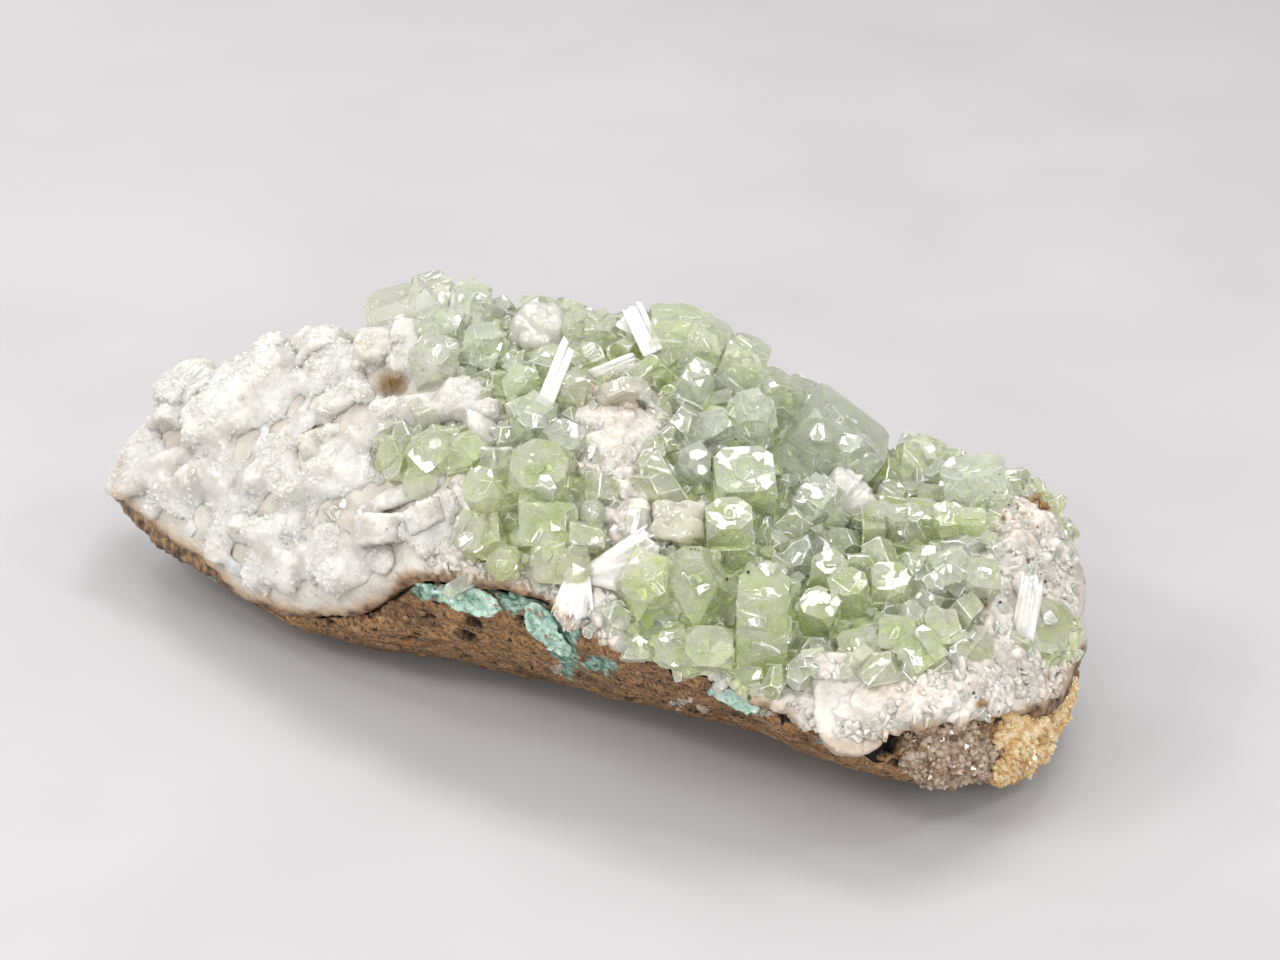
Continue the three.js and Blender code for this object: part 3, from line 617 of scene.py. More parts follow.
def placed(form, foot, rotation, size, shade=0.5, stretch=(1, 1, 1)):
    place = Matrix.Translation(foot) @ rotation.to_matrix().to_4x4()
    scale = (size * stretch[0], size * stretch[1], size * stretch[2], 1)
    return Growth(form, place @ Matrix.Diagonal(scale), shade)


def as_piece(name, mesh, material, slot, stands_for=()):
    mesh.name = name
    piece = bpy.data.objects.new(name, mesh)
    bpy.context.scene.collection.objects.link(piece)
    mesh.materials.clear()
    mesh.materials.append(material)
    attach(piece, "root")
    if stands_for:
        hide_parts(*stands_for)
    return piece


def joined_mesh(name, growths):
    """Many placed forms in one mesh."""
    bm = bmesh.new()
    for growth in growths:
        copy = growth.form.copy()
        copy.transform(growth.place)
        if growth.shade is not None:
            copy.attributes["shade"].data.foreach_set("value", [growth.shade] * len(copy.vertices))
        bm.from_mesh(copy)
        bpy.data.meshes.remove(copy)
    mesh = bpy.data.meshes.new(name)
    bm.to_mesh(mesh)
    bm.free()
    return mesh


def grown_together(name, growths):
    """Many placed forms as one closed solid, with nothing left inside it."""
    group = bpy.data.collections.new("growths")
    solids = []
    for growth in growths:
        mesh = joined_mesh("solid", [growth])
        solids.append(bpy.data.objects.new("solid", mesh))
        (group if len(solids) > 1 else bpy.context.scene.collection).objects.link(solids[-1])
    union = solids[0].modifiers.new("union", "BOOLEAN")
    union.operation = "UNION"
    union.solver = "MANIFOLD"
    union.operand_type = "COLLECTION"
    union.collection = group
    bpy.context.scene.collection.children.link(group)
    joined = bpy.data.meshes.new_from_object(solids[0].evaluated_get(bpy.context.evaluated_depsgraph_get()))
    for mesh in [solid.data for solid in solids]:
        bpy.data.meshes.remove(mesh)
    bpy.data.collections.remove(group)
    joined.name = name
    return joined


def set_values(mesh, name, values):
    old = mesh.attributes.get(name)
    if old:
        mesh.attributes.remove(old)
    mesh.attributes.new(name, "FLOAT", "POINT").data.foreach_set("value", values)


def one_shade(mesh, shade):
    set_values(mesh, "shade", [shade] * len(mesh.vertices))
    return mesh


def tinted(mesh):
    """Writes where white growth is peach or brown."""
    spots = [(v.co, v.normal) for v in mesh.vertices]
    set_values(mesh, "peach", [peach_share(*spot) for spot in spots])
    set_values(mesh, "brown", [brown_stain_and_shade_share(*spot) for spot in spots])
    return mesh


# ---- Fine meshes over the frame's solids ----------------------------------------------------------


def merged_copy(node):
    """A copy of a frame solid with its loose triangles joined up."""
    bm = bmesh.new()
    bm.from_mesh(nodes[node].data)
    bmesh.ops.remove_doubles(bm, verts=bm.verts, dist=0.002 * MM)
    return bm


def evenly_meshed(mesh, voxel_mm):
    """One even fine skin over everything in a mesh."""
    rough = bpy.data.objects.new("rough", mesh)
    bpy.context.scene.collection.objects.link(rough)
    modifier = rough.modifiers.new("even", "REMESH")
    modifier.mode = "VOXEL"
    modifier.voxel_size = voxel_mm * MM
    fine = bpy.data.meshes.new_from_object(rough.evaluated_get(bpy.context.evaluated_depsgraph_get()))
    bpy.data.objects.remove(rough)
    bpy.data.meshes.remove(mesh)
    fine.shade_smooth()
    return fine


def remeshed(node, voxel_mm):
    bm = merged_copy(node)
    mesh = bpy.data.meshes.new("rough")
    bm.to_mesh(mesh)
    bm.free()
    return evenly_meshed(mesh, voxel_mm)


def uneven(mesh, smoothing, layers):
    """Smooths a fine mesh, then moves it in and out by layers of (size, height) in millimetres."""
    bm = bmesh.new()
    bm.from_mesh(mesh)
    softened(bm, smoothing)
    bm.normal_update()
    moved = []
    for vert in bm.verts:
        out = sum(height * wander(vert.co, size * MM) for size, height in layers)
        moved.append(vert.co + vert.normal * out * MM)
    for vert, place in zip(bm.verts, moved):
        vert.co = place
    bm.to_mesh(mesh)
    bm.free()
    mesh.shade_smooth()
    return mesh


def moved_out(mesh, by_mm):
    """Moves a mesh along its normals, by one distance or by what a function of each point gives."""
    spots = [(v.co.copy(), v.normal.copy()) for v in mesh.vertices]
    for vertex, (place, normal) in zip(mesh.vertices, spots):
        vertex.co = place + normal * (by_mm(place) if callable(by_mm) else by_mm) * MM
    return mesh


def grown_shut(mesh, by_mm, voxel_mm):
    """Fills the creases of a mesh narrower than about twice by_mm, and keeps its outer edges."""
    return moved_out(evenly_meshed(moved_out(mesh, by_mm), voxel_mm), -by_mm)


def search_tree(names):
    """One search tree over the faces of several frame solids."""
    corners, faces = [], []
    for name in names:
        mesh = nodes[name].data
        start = len(corners)
        corners += [v.co.copy() for v in mesh.vertices]
        faces += [[start + i for i in p.vertices] for p in mesh.polygons]
    return BVHTree.FromPolygons(corners, faces)


def tree_of(mesh):
    return BVHTree.FromPolygons([v.co for v in mesh.vertices], [p.vertices for p in mesh.polygons])


# ---- The rind -------------------------------------------------------------------------------------

# Gas pits on the outside of the rind, at a pixel of the picture, with their radius and depth.
Pit = namedtuple("Pit", "x y radius_mm depth_mm")
SEEN_PITS = [
    Pit(474, 622, 1.2, 2.0), Pit(468, 637, 1.3, 2.2), Pit(467, 658, 0.9, 1.6), Pit(631, 698, 1.1, 2.0),
    Pit(640, 700, 1.1, 2.0), Pit(520, 622, 0.7, 1.2),
    Pit(430, 618, 0.6, 0.9), Pit(600, 672, 0.7, 1.0), Pit(585, 690, 0.6, 1.0), Pit(700, 712, 0.6, 0.9),
    Pit(405, 640, 0.6, 0.9), Pit(445, 600, 0.5, 0.8), Pit(505, 650, 0.5, 0.8), Pit(760, 715, 0.6, 0.8),
    Pit(884, 739, 2.2, 3.0), Pit(330, 622, 0.8, 1.0), Pit(270, 612, 0.7, 0.8), Pit(835, 755, 0.7, 0.9),
    Pit(895, 762, 0.8, 1.2),
]
HIDDEN_PITS = 60
RIND_VOXEL_MM, BED_VOXEL_MM = 0.7, 0.8


def rind_pits(mesh):
    """Where each pit opens, with its radius and depth in metres."""
    shell = tree_of(mesh)
    pits = []
    for pit in SEEN_PITS:
        hit = shell.ray_cast(EYE, sight(pit.x, pit.y))[0]
        if hit:
            pits.append((hit, pit.radius_mm * MM, pit.depth_mm * MM))
    rng = random.Random(11)
    for vertex in rng.sample(list(mesh.vertices), HIDDEN_PITS):
        pits.append((vertex.co.copy(), rng.uniform(0.4, 1.2) * MM, rng.uniform(0.5, 1.4) * MM))
    return pits


def build_rind():
    mesh = remeshed("basalt_rind", RIND_VOXEL_MM)
    pits = rind_pits(mesh)
    lining = search_tree(["stilbite_bed"])
    dark, stain, moved = [], [], []
    for vertex in mesh.vertices:
        place, normal = vertex.co, vertex.normal
        worn = clamped(place.z / (2 * MM))  # nothing stands out below the worn flat
        out = sum(h * MM * wander(place, s * MM) for s, h in ((9, 0.4), (3, 0.3), (1.3, 0.25)))
        out += 0.3 * MM * wander(Vector((place.x * 0.15, place.y, place.z)), 1.8 * MM)
        # The rind has shrunk a little from the lining: a thin gap runs along under the rim, sunk in and
        # painted near black as shade.
        gap = lining.find_nearest(place)[3] / MM
        gap_and_painted_shade = clamped(1.7 - gap / 0.5 + wander(place, 3 * MM)) if gap < 1.2 else 0
        out -= 0.7 * MM * gap_and_painted_shade
        for centre, radius, depth in pits:
            apart = (place - centre).length / radius
            if apart < 1.5:
                out -= depth * min(1, 2 * clamped(1 - apart ** 2)) * worn
                # Inside each pit the stone is painted near black, as painted shade.
                gap_and_painted_shade = max(gap_and_painted_shade, clamped(4 * (1.25 - apart) + wander(place, 1.2 * MM)))
        dark.append(gap_and_painted_shade)
        ragged = reach(CELADONITE_STAINS, place) + 0.9 * wander(place, 2.2 * MM)
        stain.append(clamped(4 * ragged) if normal.dot(EYE - place) > 0 else 0)
        moved.append(place + normal * out * (0.3 + 0.7 * worn))
    for vertex, place in zip(mesh.vertices, moved):
        vertex.co = (place.x, place.y, max(place.z, 0))
    # The pit attribute carries painted shade: near black in the pits and along the gap under the rim.
    set_values(mesh, "pit", dark)
    set_values(mesh, "stain", stain)
    return as_piece("basalt_rind_finish", mesh, BASALT, "basalt", ["basalt_rind"])


rind = build_rind()
rind_surface = tree_of(rind.data)

# ---- The bed --------------------------------------------------------------------------------------


def film_share(point, normal):
    """1 on the underside of the lining, where a film of the rind still sticks to it."""
    if not is_seen(point, normal):
        return clamped(-4 * (normal.z + 0.45) + wander(point, 4 * MM))
    x, y = pixel_of(point)
    rim = line_at(RIM, x)
    return 0 if rim is None else clamped((y - rim - 1) / 4 + 0.8 * wander(point, 2.5 * MM))


def build_bed():
    mesh = remeshed("stilbite_bed", BED_VOXEL_MM)
    moved, film = [], []
    for vertex in mesh.vertices:
        place, normal = vertex.co, vertex.normal
        film.append(film_share(place, normal))
        if place.x < WHITE_SIDE and green_share(place, normal) < 0.4:
            place = place + normal * 1.1 * MM * clamped(2.5 * normal.z) * (1 - film[-1])
        calm = 0.7 if place.x < WHITE_SIDE else 1
        lumps = 0.9 * calm * MM * (0.6 - noise.voronoi(place / (4 * MM))[0][0])
        fine = 0.5 * calm * MM * (0.6 - noise.voronoi(place / (1.8 * MM))[0][0])
        hollow = 3.2 * MM * clamped(1.5 * reach(HOLLOWS, place)) if is_seen(place, normal) else 0
        moved.append(place + normal * (lumps + fine + 0.4 * MM * wander(place, 8 * MM) + 0.3 * MM - hollow))
    for vertex, place in zip(mesh.vertices, moved):
        vertex.co = place
    tinted(mesh)
    set_values(mesh, "film", film)
    set_values(mesh, "green", [green_share(v.co, v.normal) for v in mesh.vertices])
    for vertex, value in zip(mesh.vertices, mesh.attributes["peach"].data):
        gap = rind_surface.find_nearest(vertex.co)[3]
        value.value = max(value.value, clamped(1.6 - gap / (1 * MM)))
    return as_piece("stilbite_bed_finish", mesh, LINING, "stilbite", ["stilbite_bed"])


bed = build_bed()
BED_FACES = [(p.center.copy(), p.normal.copy(), p.area) for p in bed.data.polygons]
PLATE_TOP = 676  # the chalky plate at the rim is grown over above this line of the picture
UNDERSIDE = -0.25  # a face of the bed whose upward share is less is on its underside

# ---- The crystals, blades and balls of the frame, finished ----------------------------------------

LARGE_FACE_MM2 = 5  # the smallest face that carries growth plates
FACE_PER_PLATE_MM2 = 20  # there is one growth plate for this much of a face
WORN_EDGE_MM = 0.2  # how much the edges of a large crystal are taken off
SHARP_ANGLE, SHORTEST_EDGE_MM = math.radians(14), 0.9  # only sharper and longer edges are taken off
WHERE_IT_IS = Matrix.Identity(4)
BLADE_VOXEL_MM = 0.35
GRAINS_ON_A_BLADE, GRAINS_ON_THE_LEFT = 60, 1650
LOBE_SPACING_MM = 2.6


def overgrown(faces, rng):
    """Thin growth plates, in step with the face of the large crystal that they lie on."""
    for face in faces:
        longest = max(face.edges, key=lambda edge: edge.calc_length())
        along = (longest.verts[1].co - longest.verts[0].co).normalized()
        frame_of_face = Matrix((along, face.normal.cross(along), face.normal)).transposed()
        rotation = frame_of_face.to_quaternion()
        for _ in range(round(face.calc_area() / (FACE_PER_PLATE_MM2 * MM ** 2))):
            corners = rng.sample(list(face.verts), 2)
            on_edge = corners[0].co.lerp(corners[1].co, rng.random())
            place = face.calc_center_median().lerp(on_edge, rng.uniform(0.1, 0.9))
            size = rng.uniform(1.0, 3.8) * MM
            foot = place - face.normal * (size - rng.uniform(0.1, 0.4) * MM)
            stretch = (rng.uniform(0.6, 1.3), rng.uniform(0.6, 1.3), 1)
            yield placed(rng.choice(PLATE_FORMS), foot, rotation, size, rng.random(), stretch)


def refined(node, seed):
    """A frame crystal with growth plates on its faces and its outer edges taken off."""
    rng = random.Random(seed)
    bm = merged_copy(node)
    bmesh.ops.dissolve_limit(bm, angle_limit=math.radians(1.5), verts=bm.verts, edges=bm.edges)
    least = LARGE_FACE_MM2 * MM ** 2
    large = [f for f in bm.faces if f.calc_area() > least and f.normal.z > UNDERSIDE]
    growths = list(overgrown(large, rng))
    edges = [
        e for e in bm.edges
        if e.is_manifold and e.calc_face_angle_signed() > SHARP_ANGLE
        and e.calc_length() > SHORTEST_EDGE_MM * MM
    ]
    bevelled(bm, edges, WORN_EDGE_MM * MM, 2)
    large_one = finished_form(bm, node)
    set_values(large_one, "shade", [clamped(0.5 + wander(v.co, 9 * MM)) for v in large_one.vertices])
    return grown_together(node, [Growth(large_one, WHERE_IT_IS, None), *growths])


def tilted(rng, normal, amount):
    """A direction near the normal."""
    loose = Vector((rng.gauss(0, 1), rng.gauss(0, 1), rng.gauss(0, 1))).normalized()
    return (normal + amount * loose).normalized()


def leaves_box(point, size):
    """Whether a small growth with its middle here would make the specimen larger."""
    low, high = cad_box
    half = 0.5 * size - 0.2 * MM
    return any(v - half < a or v + half > b for v, a, b in zip(point, low, high))


def fine_grains(mesh, seed, most):
    """Sugary patches of fine grains on a mesh, where the camera sees it."""
    rng = random.Random(seed)
    growths = []
    for face in rng.sample(list(mesh.polygons), min(len(mesh.polygons), 9 * most)):
        place, normal = face.center, face.normal
        if wander(place, 5 * MM) < 0.16 - 0.3 * rng.random() or not is_seen(place, normal):
            continue
        size = rng.uniform(0.4, 0.9) * MM
        if len(growths) < most and not leaves_box(place, size):
            stretch = (1, rng.uniform(0.6, 1), rng.uniform(0.7, 1.2))
            growths.append(stood(
                rng.choice(GRAIN_FORMS), place - 0.25 * size * normal, tilted(rng, normal, 0.9),
                rng.uniform(0, math.pi), size, rng.random(), stretch,
            ))
    return growths


def sugared(name, mesh, seed, most):
    """A mesh with fine grains grown onto it."""
    whole = Growth(mesh, WHERE_IT_IS, None)
    return tinted(grown_together(name, [whole, *fine_grains(mesh, seed, most)]))


def rounded(node, swell_mm=0.2, lump_mm=0.3):
    """A frame blade or ball, softened and made uneven as stilbite grows."""
    mesh = uneven(remeshed(node, BLADE_VOXEL_MM), 4, ((2.2, lump_mm), (0.9, 0.3 * lump_mm)))
    moved_out(mesh, lambda place: swell_mm + 0.1 * (0.6 - noise.voronoi(place / (1.1 * MM))[0][0]))
    return tinted(one_shade(mesh, 0.5))


def lobed(node, seed):
    """A frame ball as a cluster of small balls that have grown together."""
    rng = random.Random(seed)
    core = remeshed(node, 0.5)
    growths, taken = [], []
    for vertex in rng.sample(list(core.vertices), len(core.vertices)):
        if all((vertex.co - other).length > LOBE_SPACING_MM * MM for other in taken):
            taken.append(vertex.co.copy())
            size = rng.uniform(3.0, 4.6) * MM
            growths.append(stood(LOBE, vertex.co - 0.28 * size * vertex.normal, vertex.normal, 0, size))
    joined = joined_mesh(node, [Growth(core, WHERE_IT_IS, None), *growths])
    mesh = uneven(evenly_meshed(joined, 0.25), 0, ((1.4, 0.12),))
    return tinted(one_shade(mesh, 0.7))


CRYSTAL_NODES = {
    "clear_apophyllite": (CLEAR, [
        "summit_crystals", "upper_left_crystals", "upper_column", "centre_back_crystals",
        "middle_round_crystal", "barrel_crystal", "great_slab", "grey_crystal",
        "right_round_crystal", "pale_right_crystal",
    ]),
    "pale_apophyllite": (PALE, [
        "left_ridge_crystals", "middle_ridge_crystals", "right_ridge_crystals", "left_shoulder_crystal",
        "right_shoulder_crystal", "middle_block", "sparkling_pair", "back_left_crystals",
        "back_right_crystals",
    ]),
    "green_apophyllite": (GREEN, [
        "left_nest_crystals", "centre_block", "low_left_crystals", "front_pyramids", "rim_crystals",
        "front_column", "middle_lower_crystal", "right_small_crystals", "prism_row", "end_crystals",
        "rim_cubes", "hollow_crystals", "back_middle_crystals",
    ]),
}
SOFT_NODES = {
    "stilbite": (WHITE_BLADES, [
        "white_ball", "left_ball", "ridge_blades", "lower_blades", "long_blade", "left_blades",
    ]),
    "peach_stilbite": (CREAM_BLADES, ["pale_block", "pale_blades"]),
    "clear_apophyllite": (CLEAR, ["round_crystal"]),
}

for slot, (material, names) in CRYSTAL_NODES.items():
    for seed, node in enumerate(names):
        as_piece(node + "_finish", refined(node, seed), material, slot, [node])
for slot, (material, names) in SOFT_NODES.items():
    for node in names:
        if material is CLEAR:
            mesh = rounded(node)
        else:
            mesh = sugared(node, rounded(node, lump_mm=0.5), 126, GRAINS_ON_A_BLADE)
        as_piece(node + "_finish", mesh, material, slot, [node])
plate = as_piece("rim_plate_finish", rounded("rim_plate"), CHALKY_PLATE, "stilbite", ["rim_plate"])
for face in plate.data.polygons:
    if pixel_of(face.center)[1] < PLATE_TOP:
        BED_FACES.append((face.center.copy(), face.normal.copy(), face.area))
for node, lump_mm in (("beige_blades", 0.4), ("beige_block", 0.9)):
    mesh = rounded(node, swell_mm=0.1, lump_mm=lump_mm)
    as_piece(node + "_finish", mesh, BEIGE, "peach_stilbite", [node])
as_piece("ridge_ball_finish", lobed("ridge_ball", 3), MILKY, "peach_stilbite", ["ridge_ball"])

# ---- Laths and sheaves, as bundles of strips and fibres -------------------------------------------

# By pixel: where the foot and the tip lie in the picture, with the width and thickness.
Lath = namedtuple("Lath", "foot tip wide_mm thick_mm strips")
LATHS = {
    "tall_lath": [Lath((547, 398), (573, 337), 2.2, 1.4, 2)],
    "twin_laths": [
        Lath((650, 346), (629, 301), 3.0, 1.6, 4), Lath((638, 330), (616, 319), 1.9, 1.4, 2),
    ],
    "lying_lath": [Lath((600, 372), (639, 357), 1.7, 1.1, 3)],
    "upright_blade": [Lath((1021, 640), (1032, 569), 3.2, 1.8, 5)],
}
LATH_ROOT = 1.5 * MM  # how far a lath goes on below its foot
LATH_LEAN = 0.25  # how far its tip leans to the camera, in lengths
# A fan of fibres, as in the frame: where its foot is, its length and thickness in millimetres, the angle
# that it spreads to either side, and how it is turned and leans.
Sheaf = namedtuple("Sheaf", "foot_mm long thick spread turn lean toward fibres")
SHEAVES = {
    "rim_sheaf": Sheaf((12.6, -26.4, 31.6), 12, 4, 22, 0, 72, 12, 420),
    "hanging_fan": Sheaf((11.6, -27.6, 31.6), 9, 3.6, 34, 90, 150, -80, 420),
    "right_sheaf": Sheaf((36, 7.4, 31), 6.4, 3.2, 34, 25, 50, 60, 420),
}


def leaning(turn, lean, toward):
    """Turned about its own length, then tipped towards a compass direction, all in degrees."""
    sideways = math.radians(toward + 90)
    tipped = Quaternion((math.cos(sideways), math.sin(sideways), 0), math.radians(lean))
    return tipped @ Quaternion((0, 0, 1), math.radians(turn))


def lath_strips(lath, ground, rng):
    """Strips side by side, from the surface at the foot of a lath to its tip."""
    foot = ground.ray_cast(EYE, sight(*lath.foot))[0]
    away = (foot - EYE).dot(FORWARD)
    tip = EYE + sight(*lath.tip) * away / sight(*lath.tip).dot(FORWARD)
    tip -= LATH_LEAN * (tip - foot).length * FORWARD
    too_high = max(0, tip.z - cad_box[1][2])
    tip -= sight(*lath.tip) * too_high / sight(*lath.tip).z
    along = (tip - foot).normalized()
    to_eye = (EYE - foot).normalized()
    facing = (to_eye - along * to_eye.dot(along)).normalized()
    across = facing.cross(along)
    rotation = Matrix((across, facing, along)).transposed().to_quaternion()
    length = (tip - foot).length + LATH_ROOT
    width = lath.wide_mm * MM / lath.strips
    for i in range(lath.strips):
        for depth in (-0.22, 0.22):
            sideways = width * (i + 0.5 - lath.strips / 2 + rng.uniform(-0.06, 0.06))
            start = foot + across * sideways + facing * (depth + rng.uniform(0, 0.16)) * lath.thick_mm * MM
            own = length * rng.uniform(0.86, 1.02)
            size = 1.16 * width
            stretch = (1, 0.55 * lath.thick_mm * MM / size, own / size)
            twist = Quaternion((0, 0, 1), rng.uniform(-0.16, 0.16))
            twist = twist @ Quaternion((0, 1, 0), rng.uniform(-0.02, 0.02))
            root = start - along * LATH_ROOT
            yield placed(rng.choice(STRIP_FORMS), root, rotation @ twist, size, rng.random(), stretch)


def sheaf_fibres(sheaf, rng):
    rotation = leaning(sheaf.turn, sheaf.lean, sheaf.toward)
    for _ in range(sheaf.fibres):
        bend = math.radians(sheaf.spread) * rng.uniform(-1, 1)
        layer = rng.uniform(-0.5, 0.5)
        tilt = math.radians(-14 * layer + rng.gauss(0, 3))
        start = Vector((1.6 * math.sin(bend), 0.8 * layer * sheaf.thick, -0.8))
        foot = Vector(sheaf.foot_mm) + rotation @ start
        turned = rotation @ Quaternion((0, 1, 0), bend) @ Quaternion((1, 0, 0), tilt)
        width = rng.uniform(0.35, 0.75)
        length = (sheaf.long + 0.8) * (1 - 0.5 * rng.random() ** 2) * (1 - 0.5 * abs(layer))
        stretch = (1, 0.6, length / width)
        yield placed(rng.choice(STRIP_FORMS), foot * MM, turned, width * MM, rng.random(), stretch)


def build_laths_and_sheaves():
    rng = random.Random(71)
    ground = search_tree(name for name in nodes if name not in SHEAVES)
    for node, laths in LATHS.items():
        growths = [strip for lath in laths for strip in lath_strips(lath, ground, rng)]
        mesh = tinted(grown_together(node, growths))
        as_piece(node + "_finish", mesh, SILKY_BLADES, "stilbite", [node])
    for node, sheaf in SHEAVES.items():
        mesh = uneven(evenly_meshed(joined_mesh(node, sheaf_fibres(sheaf, rng)), 0.2), 1, ((1.0, 0.05),))
        as_piece(node + "_finish", tinted(one_shade(mesh, 0.5)), SILKY_BLADES, "stilbite", [node])


build_laths_and_sheaves()

# ---- Crusts and druses on the rind ----------------------------------------------------------------


POINTS_ON_A_DRUSE, POINTS_ROUND_IT = 2400, 900  # the most quartz points on it, and on the rind round it
POINT_SPACING_MM = 0.6


def build_crust(node):
    """A film of celadonite that breaks up towards its edges."""

    def out(place):
        ragged = wander(place, 3 * MM) + 0.6 * wander(place, 1.1 * MM)
        return 0.2 * wander(place, 0.8 * MM) - clamped(-4 * (ragged + 0.12))

    as_piece(node + "_finish", moved_out(remeshed(node, 0.3), out), CELADONITE, "celadonite", [node])


def build_druse(node, material, slot, seed):
    """Quartz points side by side on a crust."""
    mesh = uneven(remeshed(node, 0.5), 2, ((3, 0.4), (1.2, 0.3)))
    rng = random.Random(seed)
    growths = []
    taken = []
    outside = [p for p in mesh.polygons if rind_surface.find_nearest(p.center)[3] > 0.7 * MM]
    for face in rng.sample(outside, min(len(outside), POINTS_ON_A_DRUSE)):
        if any((face.center - other).length < POINT_SPACING_MM * MM for other in taken):
            continue
        taken.append(face.center.copy())
        size = rng.uniform(0.7, 1.4) * MM
        axis = tilted(rng, face.normal, 0.45)
        foot = face.center - axis * 0.25 * size
        turn, shade = rng.uniform(0, 1), rng.random()
        growths.append(stood(POINT, foot, axis, turn, size, shade, (1, 1, rng.uniform(0.7, 1.1))))
    base = Growth(one_shade(mesh, 0.1), WHERE_IT_IS, 0.1)
    as_piece(node + "_finish", joined_mesh(node, growths + [base]), material, slot, [node])


for node in ("left_celadonite", "middle_celadonite", "right_celadonite"):
    build_crust(node)
build_druse("grey_druse", GREY, "grey_druse", 81)
build_druse("golden_druse", GOLD, "golden_quartz", 82)

# ---- Small growth over the whole bed --------------------------------------------------------------

NOT_LARGE_GROWTH = (
    "basalt_rind", "stilbite_bed", "rim_plate", "left_celadonite", "middle_celadonite", "right_celadonite",
    "grey_druse", "golden_druse",
)
large_growth = search_tree(name for name in nodes if name not in NOT_LARGE_GROWTH)
COVERS_MM = 5  # a small growth this far in front of a large one, or nearer, would cover it


def scattered(seed, count, spacing, accept):
    """Points and normals on the bed, evenly at random over its area, no two closer than spacing."""
    rng = random.Random(seed)
    open_faces = [(c, n, a) for c, n, a in BED_FACES if n.z > UNDERSIDE and accept(c, n)]
    picks = rng.choices(open_faces, [a for _, _, a in open_faces], k=count) if open_faces else []
    taken, kept = {}, []
    for centre, normal, _ in picks:
        cell = tuple(math.floor(v / spacing) for v in centre)
        near = [
            other
            for x in (-1, 0, 1) for y in (-1, 0, 1) for z in (-1, 0, 1)
            for other in taken.get((cell[0] + x, cell[1] + y, cell[2] + z), ())
        ]
        if all((other - centre).length > spacing for other in near):
            taken.setdefault(cell, []).append(centre)
            kept.append((centre, normal))
    return kept


def in_the_way(point, size, reach_down=0.3):
    """Whether a small growth with its middle here would leave the outline or hide a large growth."""
    if leaves_box(point, size):
        return True
    x, y = pixel_of(point)
    half = 0.45 * size * PIXELS / DISTANCE
    top = line_at(SKYLINE, x)
    if top is None or y - half < top - 4 or not SKYLINE[0][0] < x - half < x + half < SKYLINE[-1][0]:
        return True
    if point.y < RIDGE_Y and y + reach_down * half > line_at(RIM, x):
        return True
    nearest, normal, _, gap = large_growth.find_nearest(point)
    if gap < 0.3 * size or (point - nearest).dot(normal) < 0 and gap < 3 * MM:
        return True
    if point.y > RIDGE_Y:
        return rind_surface.find_nearest(point)[3] < 0.5 * size
    covered = large_growth.ray_cast(point, (point - EYE).normalized(), COVERS_MM * MM)[0]
    return covered is not None


def crystal_sites(seed, count, spacing_mm, sizes_mm, least_green, tilt, covering=0.0):
    """Small apophyllite crystals, sorted by how green they are."""

    def is_green(centre, normal):
        return green_share(centre, normal) > least_green

    rng = random.Random(seed)
    kinds = {"clear": [], "pale": [], "green": []}
    for centre, normal in scattered(seed, count, spacing_mm * MM, is_green):
        size = rng.uniform(*sizes_mm) * MM
        axis = tilted(rng, normal, tilt)
        if in_the_way(centre + axis * 0.7 * size, size) and rng.random() > covering:
            continue
        seen = is_seen(centre, normal)
        deep = clamped(2 * reach(DEEP_GREEN, centre)) if seen else clamped(2 * wander(centre, 7 * MM))
        draw = rng.random() - 0.5 * deep
        kind = "green" if draw < 0.4 else "pale" if draw < 0.86 else "clear"
        stretch = (1, rng.uniform(0.85, 1.1), rng.uniform(0.8, 1.15))
        growth = stood(
            rng.choice(CRYSTAL_FORMS), centre - axis * 0.1 * size, axis, rng.uniform(0, math.pi), size,
            rng.random(), stretch,
        )
        kinds[kind].append(growth)
    return kinds


PROUD = 1.2 * MM  # how far a small crystal may stand past the frame's own box


def stands_past_box(growth):
    low, high = cad_box
    points = [growth.place @ vertex.co for vertex in growth.form.vertices]
    return any(v < a - PROUD or v > b + PROUD for point in points for v, a, b in zip(point, low, high))


def build_small_crystals():
    medium = crystal_sites(101, 3000, 2.7, (2.8, 5.2), 0.5, 0.7)
    small = crystal_sites(102, 7500, 1.4, (1.1, 2.6), 0.3, 0.9, 0.4)
    for kind, material in (("clear", CLEAR), ("pale", PALE), ("green", GREEN)):
        slot = kind + "_apophyllite"
        growths = [growth for growth in medium[kind] + small[kind] if not stands_past_box(growth)]
        mesh = grown_together(kind, growths)
        as_piece(kind + "_crystals", mesh, material, slot)


def laid(rng, place, along, facing, wide, long):
    """A blade half sunk in what it lies on, with its middle at a point."""
    along = (along - facing * along.dot(facing)).normalized()
    rotation = Matrix((facing.cross(along), facing, along)).transposed().to_quaternion()
    foot = place - along * BLADE_MIDDLE * long
    stretch = (1, rng.uniform(0.8, 1.2), long / (BLADE_REACH * wide))
    return placed(rng.choice(BLADE_FORMS), foot, rotation, wide, rng.random(), stretch)


def lying_blade(rng, centre, normal, size):
    """A blade that lies on the bed, in nearly the direction of its neighbours."""
    heading = 2 * math.pi * wander(centre, 16 * MM) + rng.gauss(0, 0.5)
    across = Vector((math.cos(heading), math.sin(heading), 0))
    wide = size * rng.uniform(0.55, 0.85)
    return laid(rng, centre, across, tilted(rng, normal, 0.3), wide, size * rng.uniform(0.9, 1.4))


def standing_blade(rng, centre, normal, size):
    axis = tilted(rng, normal, 0.8)
    foot = centre - axis * 0.2 * size
    return stood(rng.choice(BLADE_FORMS), foot, axis, rng.uniform(0, math.pi), 0.7 * size, rng.random())


